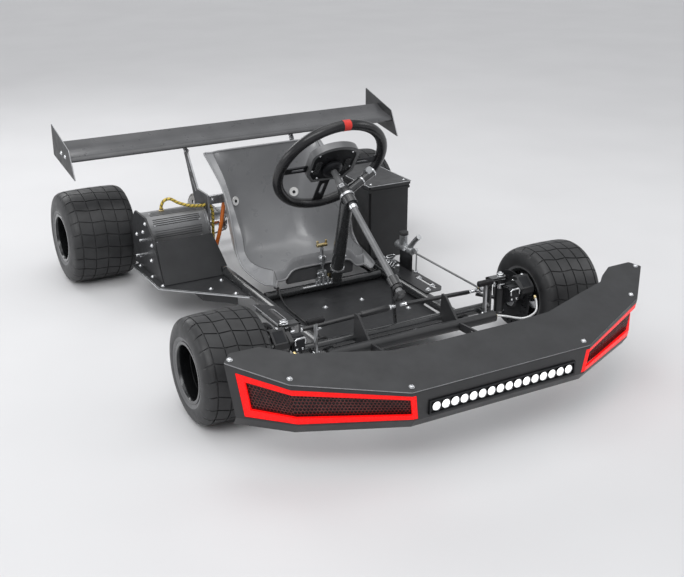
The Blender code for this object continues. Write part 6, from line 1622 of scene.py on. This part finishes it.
FIN_GROUPS, FIN_GROOVES = 11, 4
FIN_BAND = 0.30
FIN_DEEP = 0.0045
FIN_PHASE = radians(16.0)
MOTOR_IN = STRUT_OUTER + GAP
MOTOR_CAP = 0.029


def fin_outline():
    """Section of the motor's barrel: smooth bands between groups of narrow lengthwise grooves."""
    points = []
    group = tau / FIN_GROUPS
    step = group * (1 - FIN_BAND) / FIN_GROOVES
    for g in range(FIN_GROUPS):
        start = g * group + FIN_PHASE
        points += [(MOTOR_R, start + group * FIN_BAND * k / 5) for k in range(6)]
        for i in range(FIN_GROOVES):
            groove = start + group * FIN_BAND + step * (i + 0.5)
            for share, depth in ((-0.24, 0.0), (-0.20, FIN_DEEP), (0.20, FIN_DEEP), (0.24, 0.0)):
                points.append((MOTOR_R - depth, groove + step * share))
    return [(MOTOR_Y + r * cos(a), MOTOR_Z + r * sin(a)) for r, a in points]


def make_motor():
    """Finned barrel between two end caps, with ribs, bolts and the gland on top."""
    barrel = across([fin_outline()], -MOTOR_OUT + 0.016, -MOTOR_IN - 0.016, 0.0)
    cap = [(0.0675, 0), (0.0695, 0.0020), (0.0695, 0.0120), (0.0684, 0.0130), (0.0684, MOTOR_CAP),
           (0, MOTOR_CAP)]
    outer = lathe([(0, 0)] + cap, placed((-MOTOR_OUT, MOTOR_Y, MOTOR_Z), ACROSS, UP), 72)
    inner = lathe([(0.0104, 0)] + cap + [(0, 0.031), (0.0104, 0.030)],
                  placed((-MOTOR_IN, MOTOR_Y, MOTOR_Z), -ACROSS, UP), 72)
    bolts = []
    for y, z in ring_points((MOTOR_Y, MOTOR_Z), 0.0662, 8, tau * 0.19 / 8):
        for x, out in ((-MOTOR_OUT + MOTOR_CAP, 0.005), (-MOTOR_IN - MOTOR_CAP - 0.005, 0.005)):
            bolts.append(round_bar((x, y, z), (x + out, y, z), 0.0036, 6))
    gland = turned([(0, 0), (0.0088, 0), (0.0094, 0.001), (0.0094, 0.006), (0.0072, 0.0075), (0.0066, 0.012),
                    (0, 0.012)],
                   (LEAD_X, MOTOR_Y, MOTOR_Z + MOTOR_R - 0.0035), UP, 6)
    rib = [(0.0695, -0.0012), (0.0702, -0.0006), (0.0702, 0.0006), (0.0695, 0.0012)]
    ribs = [turned(rib, (x, MOTOR_Y, MOTOR_Z), ACROSS, 72) for x in (-MOTOR_OUT + 0.006, -MOTOR_IN - 0.006)]
    assemble("finned_motor", "chassis",
             [([barrel, outer, inner], "motor"), (bolts, "bright"), (gland, "brass"),
                                         (ribs, "grey")], ["motor_body"])


def make_motor_bracket():
    """Finish of the guard beside the motor, with its screws and two long studs."""
    dress("motor_bracket", "plate", 0.0009, 2, True)
    face = -MOTOR_OUT - 0.0063
    places = ((0.872, 0.198), (0.812, 0.222), (0.788, 0.255), (0.848, 0.134), (0.737, 0.201), (0.749, 0.149))
    heads, rings = screws_on([(face, y, z) for y, z in places], -ACROSS, 0.0072, 0.0010, 0.0056)
    studs = [round_bar((face + GAP, y, z), (face + GAP - out, y, z), 0.0046, 24)
             for y, z, out in ((0.788, 0.205, 0.022), (0.792, 0.158, 0.034))]
    assemble("motor_bracket_bolts", "chassis", [(heads + rings + studs, "bright")])


def weave(angle, place):
    """Relief of crossing strands round a sleeve, as a share of its radius."""
    return 1.0 + 0.055 * sin(5 * angle + place * 0.9) * sin(5 * angle - place * 0.9)


def make_motor_lead():
    """Woven lead from the motor through the strut and down its inner side, with two colours of strand."""
    wall, sides = STRUT_INNER, 20
    braid = [(LEAD_X, MOTOR_Y, MOTOR_Z + MOTOR_R + 0.0004), (LEAD_X, MOTOR_Y, 0.277), (-0.322, 0.860, 0.295),
             (-0.303, 0.855, 0.300), (-0.278, 0.848, 0.285), (-0.245, LEAD_HOLE[0], 0.274),
             (-0.215, LEAD_HOLE[0], 0.269), (-0.200, *LEAD_HOLE), (-wall + 0.002, *LEAD_HOLE),
             (-0.176, 0.836, 0.260),
             (-0.172, 0.832, 0.242), (-0.173, 0.831, 0.215), (-0.174, 0.831, 0.180), (-0.174, 0.832, 0.155),
             (-wall + 0.009, 0.834, 0.136), (-wall + 0.007, 0.834, 0.132), (-wall + GAP, 0.834, 0.132)]
    route = smooth_line(braid, 0.0016)
    sleeve = sweep(route, 0.0050 * 0.97, sides, False, weave)
    eye = turned([(0, 0), (0.0072, 0), (0.0072, 0.0020), (0.0050, 0.0020), (0.0050, 0.0060), (0, 0.0060)],
                 (-wall, 0.834, 0.132), ACROSS, 24)
    obj = assemble("braided_lead", "chassis", [(sleeve, "yellow"), (eye, "brass")], ["motor_lead"],
                   60.0)
    obj.data.materials.append(PAINT["braid_dark"])
    for index, polygon in enumerate(obj.data.polygons[:(len(route) - 1) * sides]):
        i, k = divmod(index, sides)
        if (i // 2 + k // 3) % 4 == 0:
            polygon.material_index = 2


def make_power_lead():
    bar_back, wall = SEAT_BAR_Y + SEAT_BAR_DEPTH, STRUT_INNER
    points = [(-0.124, bar_back + GAP, SEAT_BAR_Z), (-0.124, bar_back + 0.009, SEAT_BAR_Z),
              (-0.127, 0.8450, 0.267),
              (-0.138, 0.8360, 0.225), (-0.147, 0.8320, 0.190), (-0.155, 0.8320, 0.160),
              (-0.166, 0.8360, 0.122),
              (-wall + 0.012, 0.8400, 0.103), (-wall + GAP, 0.8400, 0.103)]
    route = smooth_line(points, 0.004)
    boot = [(0, 0), (0.0074, 0), (0.0078, 0.0008), (0.0078, 0.010), (0.0066, 0.012), (0, 0.012)]
    boots = [turned(boot, here, on - here, 24) for here, on in (route[:2], route[:-3:-1])]
    assemble("power_lead", "chassis", [(sweep(route, 0.0063, 20), "orange"), (boots, "box")], ["power_cable"])


def sprocket(radius, teeth, matrix, holes=()):
    """A toothed wheel with rounded seats."""
    tooth = [(0.34, 0.0040), (0.20, 0.0028), (0.09, 0.0008)]
    flank = [(-share, drop) for share, drop in tooth] + [(0.0, -0.0002)] + tooth[::-1]
    outline = [around(radius - drop, tau * (i + share) / teeth) for i in range(teeth) for share,
               drop in flank]
    return plate([outline, *holes], -TOOTH_HALF, TOOTH_HALF, matrix, 0.0004)


def make_rear_axle():
    """Live axle with its hubs, and the driven sprocket on its carrier."""
    y, z = REAR_Y, REAR_R
    bright = [round_bar((-0.470, y, z), (0.470, y, z), 0.0199, 48, 0.0015)]
    hub = [(0.0198, 0.3753), (0.0275, 0.3753), (0.029, 0.3768), (0.029, 0.4200), (0.033, 0.4240),
           (0.0444, 0.4253),
           (0.045, 0.4259), (0.045, 0.4297), (0.0444, HUB_X_REAR), (0.0198, HUB_X_REAR)]
    for side in (-1, 1):
        bright.append(lathe(hub, placed((0, y, z), (side, 0, 0), UP), 56))
        bright += hex_head((side * 0.400, y, z + 0.0288), UP, 0.009, 0.004)
    matrix = placed((CHAIN_X, y, z), ACROSS, BACK)
    holes = [ring_points((0, 0), 0.0215, 32)] + [ring_points(p, 0.0085, 18)
                                                 for p in ring_points((0, 0), 0.050, 6)]
    carrier = lathe([(0.0198, 0.002), (0.034, 0.002), (0.0345, 0.006), (0.030, 0.008), (0.030, 0.0215),
                     (0.0295, 0.022), (0.0198, 0.022)], matrix, 48)
    bolts = [button_head(matrix @ Vector((*place, -TOOTH_HALF)), -ACROSS, 0.0040)
             for place in ring_points((0, 0), 0.0300, 4, 0.4)]
    assemble("live_axle", "rear_axle_set",
             [(bright, "grey"), (sprocket(BIG_R, BIG_TEETH, matrix, holes), "chain"),
                                            (carrier, "alloy"), (bolts, "bright")], ["rear_axle"])


def make_motor_sprocket():
    y, z = MOTOR_Y, MOTOR_Z
    matrix = placed((CHAIN_X, y, z), ACROSS, BACK)
    bright = [round_bar((-MOTOR_IN - 0.028, y, z), (CHAIN_X + 0.012, y, z), 0.0099, 32),
              lathe([(0.0098, -0.014), (0.0155, -0.014), (0.016, -0.0135), (0.016, 0.0), (0.0098, 0.0)],
                    matrix, 32),
              hex_nut((CHAIN_X + 0.0045, y, z), ACROSS, 0.022, 0.005)]
    assemble("drive_sprocket", "motor_drive",
             [(bright, "bright"), (sprocket(SMALL_R, SMALL_TEETH, matrix), "chain")],
             ["motor_sprocket"])


def chain_pins():
    """Evenly spaced pin places round both sprockets, an even number of them."""
    across_y, across_z = REAR_Y - MOTOR_Y, REAR_R - MOTOR_Z
    lean = atan2(across_z, across_y)
    half = pi / 2 + asin((BIG_R - SMALL_R) / hypot(across_y, across_z))
    loop = []
    for y, z, radius, start, sweep_by, steps in (
            (REAR_Y, REAR_R, BIG_R, lean - half, 2 * half, 60),
            (MOTOR_Y, MOTOR_Z, SMALL_R, lean + half, 2 * (pi - half), 24)):
        arc = [around(radius + 0.0024, start + sweep_by * i / steps) for i in range(steps + 1)]
        loop += [Vector((CHAIN_X, y + a, z + b)) for a, b in arc]
    loop.append(loop[0])
    return evenly(loop, round(line_length(loop) / PITCH / 2) * 2)


def make_chain():
    pins = chain_pins()
    plates, rollers = [], []
    for i, (here, after) in enumerate(zip(pins, pins[1:] + pins[:1])):
        matrix = placed((here + after) / 2, ACROSS, after - here)
        outline = slot_points((0, 0), (after - here).length + 0.0042, 0.0042, 0.0, 5)
        near = 0.0029 if i % 2 == 0 else 0.0021
        plates += [plate([outline], *on_side(side, near, near + 0.0008), matrix, 0.0) for side in (-1, 1)]
        for radius, half, steps in ((0.0017, 0.0020, 10), (0.0010, 0.0037, 8)):
            rollers.append(turned([(0, -half), (radius, -half), (radius, half), (0, half)], here, ACROSS,
                                  steps))
    assemble("roller_chain", "chassis", [(plates, "chain"), (rollers, "bright")], ["drive_chain"])


def make_box():
    """Battery and controller case with its lid, ribs, latches and screws."""
    low, split, top = BOX_Z[0], BOX_Z[1] - 0.014, BOX_Z[1]
    (inner, outer), (front, rear) = BOX_X, BOX_Y
    case = block((inner, front, low), (outer, rear, split), 0.006, segments=4)
    lid = block((inner - 0.0028, front - 0.004, split - 0.001), (outer + 0.004, rear + 0.004, top), 0.004,
                segments=4)
    rim = block((inner - 0.0010, front - 0.002, split - 0.010), (outer + 0.002, rear + 0.002, split - 0.002))
    ribs = [block((outer - 0.0005, y - 0.003, low + 0.030), (outer + 0.0022, y + 0.003, split - 0.030),
                  0.0008)
            for y in (front + 0.030 + k * 0.0525 for k in range(5))]
    latches = [block((outer + 0.0015, y - 0.012, split - 0.022), (outer + 0.0050, y + 0.012, split + 0.006),
                     0.0012)
               for y in (front + 0.060, rear - 0.060)]
    bolts = [button_head((x, y, top - 0.0001), UP, 0.0038)
             for x in (inner + 0.012, outer - 0.012) for y in (front + 0.014, rear - 0.014)]
    # The pale trim round the lid's top edge is partly a painted highlight along that edge
    edge = rounded(corners(inner - 0.0028, front - 0.004, outer + 0.004, rear + 0.004), 0.004)
    trim = sweep([(x, y, top - 0.0015) for x, y in edge], 0.0016, 10, True)
    assemble("battery_case", "chassis", [([case, rim] + ribs, "box"), (lid, "satin"), (latches, "alloy"),
                                         (bolts, "bright"), (trim, "edge")], ["battery_box"])


# Stage

def link_object(name, data):
    obj = bpy.data.objects.new(name, data)
    bpy.context.scene.collection.objects.link(obj)
    return obj


def make_floor():
    mesh = mesh_from([(x, y, 0) for x, y in corners(-30.0, -30.0, 30.0, 30.0)], [(0, 1, 2, 3)])
    material, tree, shader = new_material("studio_floor", Roughness=0.75)
    colour = two_tone(tree, noise(tree, 2.0, 2.0), (0.70, 0.70, 0.71), (0.73, 0.73, 0.74))
    tree.links.new(colour, shader.inputs["Base Color"])
    mesh.materials.append(material)
    link_object("studio_floor", mesh)


def make_world():
    """Soft surroundings, brighter where they are seen directly, in a reflection or through glass."""
    world = bpy.data.worlds.new("studio")
    bpy.context.scene.world = world
    world.use_nodes = True
    tree = world.node_tree
    background = set_inputs(tree.nodes["Background"], Color=(0.80, 0.81, 0.83, 1.0))
    path = add_node(tree, "LightPath")
    seen = path.outputs["Is Camera Ray"]
    for kind in ("Is Glossy Ray", "Is Transmission Ray"):
        either = add_node(tree, "Math")
        either.operation = "MAXIMUM"
        tree.links.new(seen, either.inputs[0])
        tree.links.new(path.outputs[kind], either.inputs[1])
        seen = either.outputs["Value"]
    power = add_node(tree, "MapRange", To_Min=0.50, To_Max=0.74)
    tree.links.new(seen, power.inputs["Value"])
    tree.links.new(power.outputs["Result"], background.inputs["Strength"])


def make_lights():
    """A broad sun and five area lights: name, place, target, width, height and watts."""
    sun = bpy.data.lights.new("soft_sun", "SUN")
    sun.energy, sun.angle = 1.1, radians(70)
    link_object("soft_sun", sun).rotation_euler = (radians(24), radians(-20), 0.0)
    lights = [("key", (-1.9, -1.9, 2.6), (0, -0.1, 0.2), 2.2, 1.2, 26.0),
              ("top", (0.3, 0.3, 3.0), (0, 0.1, 0.1), 2.6, 2.0, 18.0),
              ("left_fill", (2.6, -1.2, 1.7), (0.1, 0, 0.2), 1.6, 1.2, 12.0),
              ("rear_edge", (-0.8, 2.8, 1.9), (0, 0.3, 0.3), 2.0, 0.8, 20.0),
              ("low_side", (-2.6, 0.6, 0.9), (-0.3, 0.2, 0.15), 1.6, 0.7, 9.0)]
    for name, place, target, width, height, watts in lights:
        data = bpy.data.lights.new(name, "AREA")
        data.shape = "RECTANGLE"
        data.size, data.size_y, data.energy = width, height, watts
        light = link_object(name, data)
        light.location = place
        light.rotation_euler = (Vector(target) - Vector(place)).to_track_quat("-Z", "Y").to_euler()


def make_camera():
    """Camera solved from the photograph: its place, its angles and its length in pixels of 684."""
    data = bpy.data.cameras.new("camera")
    data.sensor_width = 36.0
    data.lens = 1076.574 * data.sensor_width / 684.0
    data.clip_start, data.clip_end = 0.05, 100.0
    camera = link_object("camera", data)
    camera.location = Vector((-1.413, -2.213, 1.292)) + AXLE_SHIFT
    camera.rotation_euler = (radians(90.0 - 21.889), 0.0, radians(-29.348))
    bpy.context.scene.camera = camera
    bpy.context.scene.view_settings.view_transform = "Standard"


make_camera()
make_nose()
make_wheels()
make_front_discs()
make_knuckles()
make_tie_rods()
make_brake_hoses()
make_beam()
make_rails()
make_rear_carrier()
make_floor_pan()
make_side_plates()
make_nose_carrier()
make_steering_ring()
make_steering_hub()
make_steering_shaft()
make_steering_post()
make_selector()
make_pedals()
make_brake_rod()
make_master_cylinder()
make_side_shelf()
make_pedal_spring()
make_accelerator_lead()
make_seat()
make_seat_bar()
make_wing()
make_struts()
make_motor()
make_motor_bracket()
make_motor_lead()
make_power_lead()
make_rear_axle()
make_motor_sprocket()
make_chain()
make_box()
make_floor()
make_world()
make_lights()
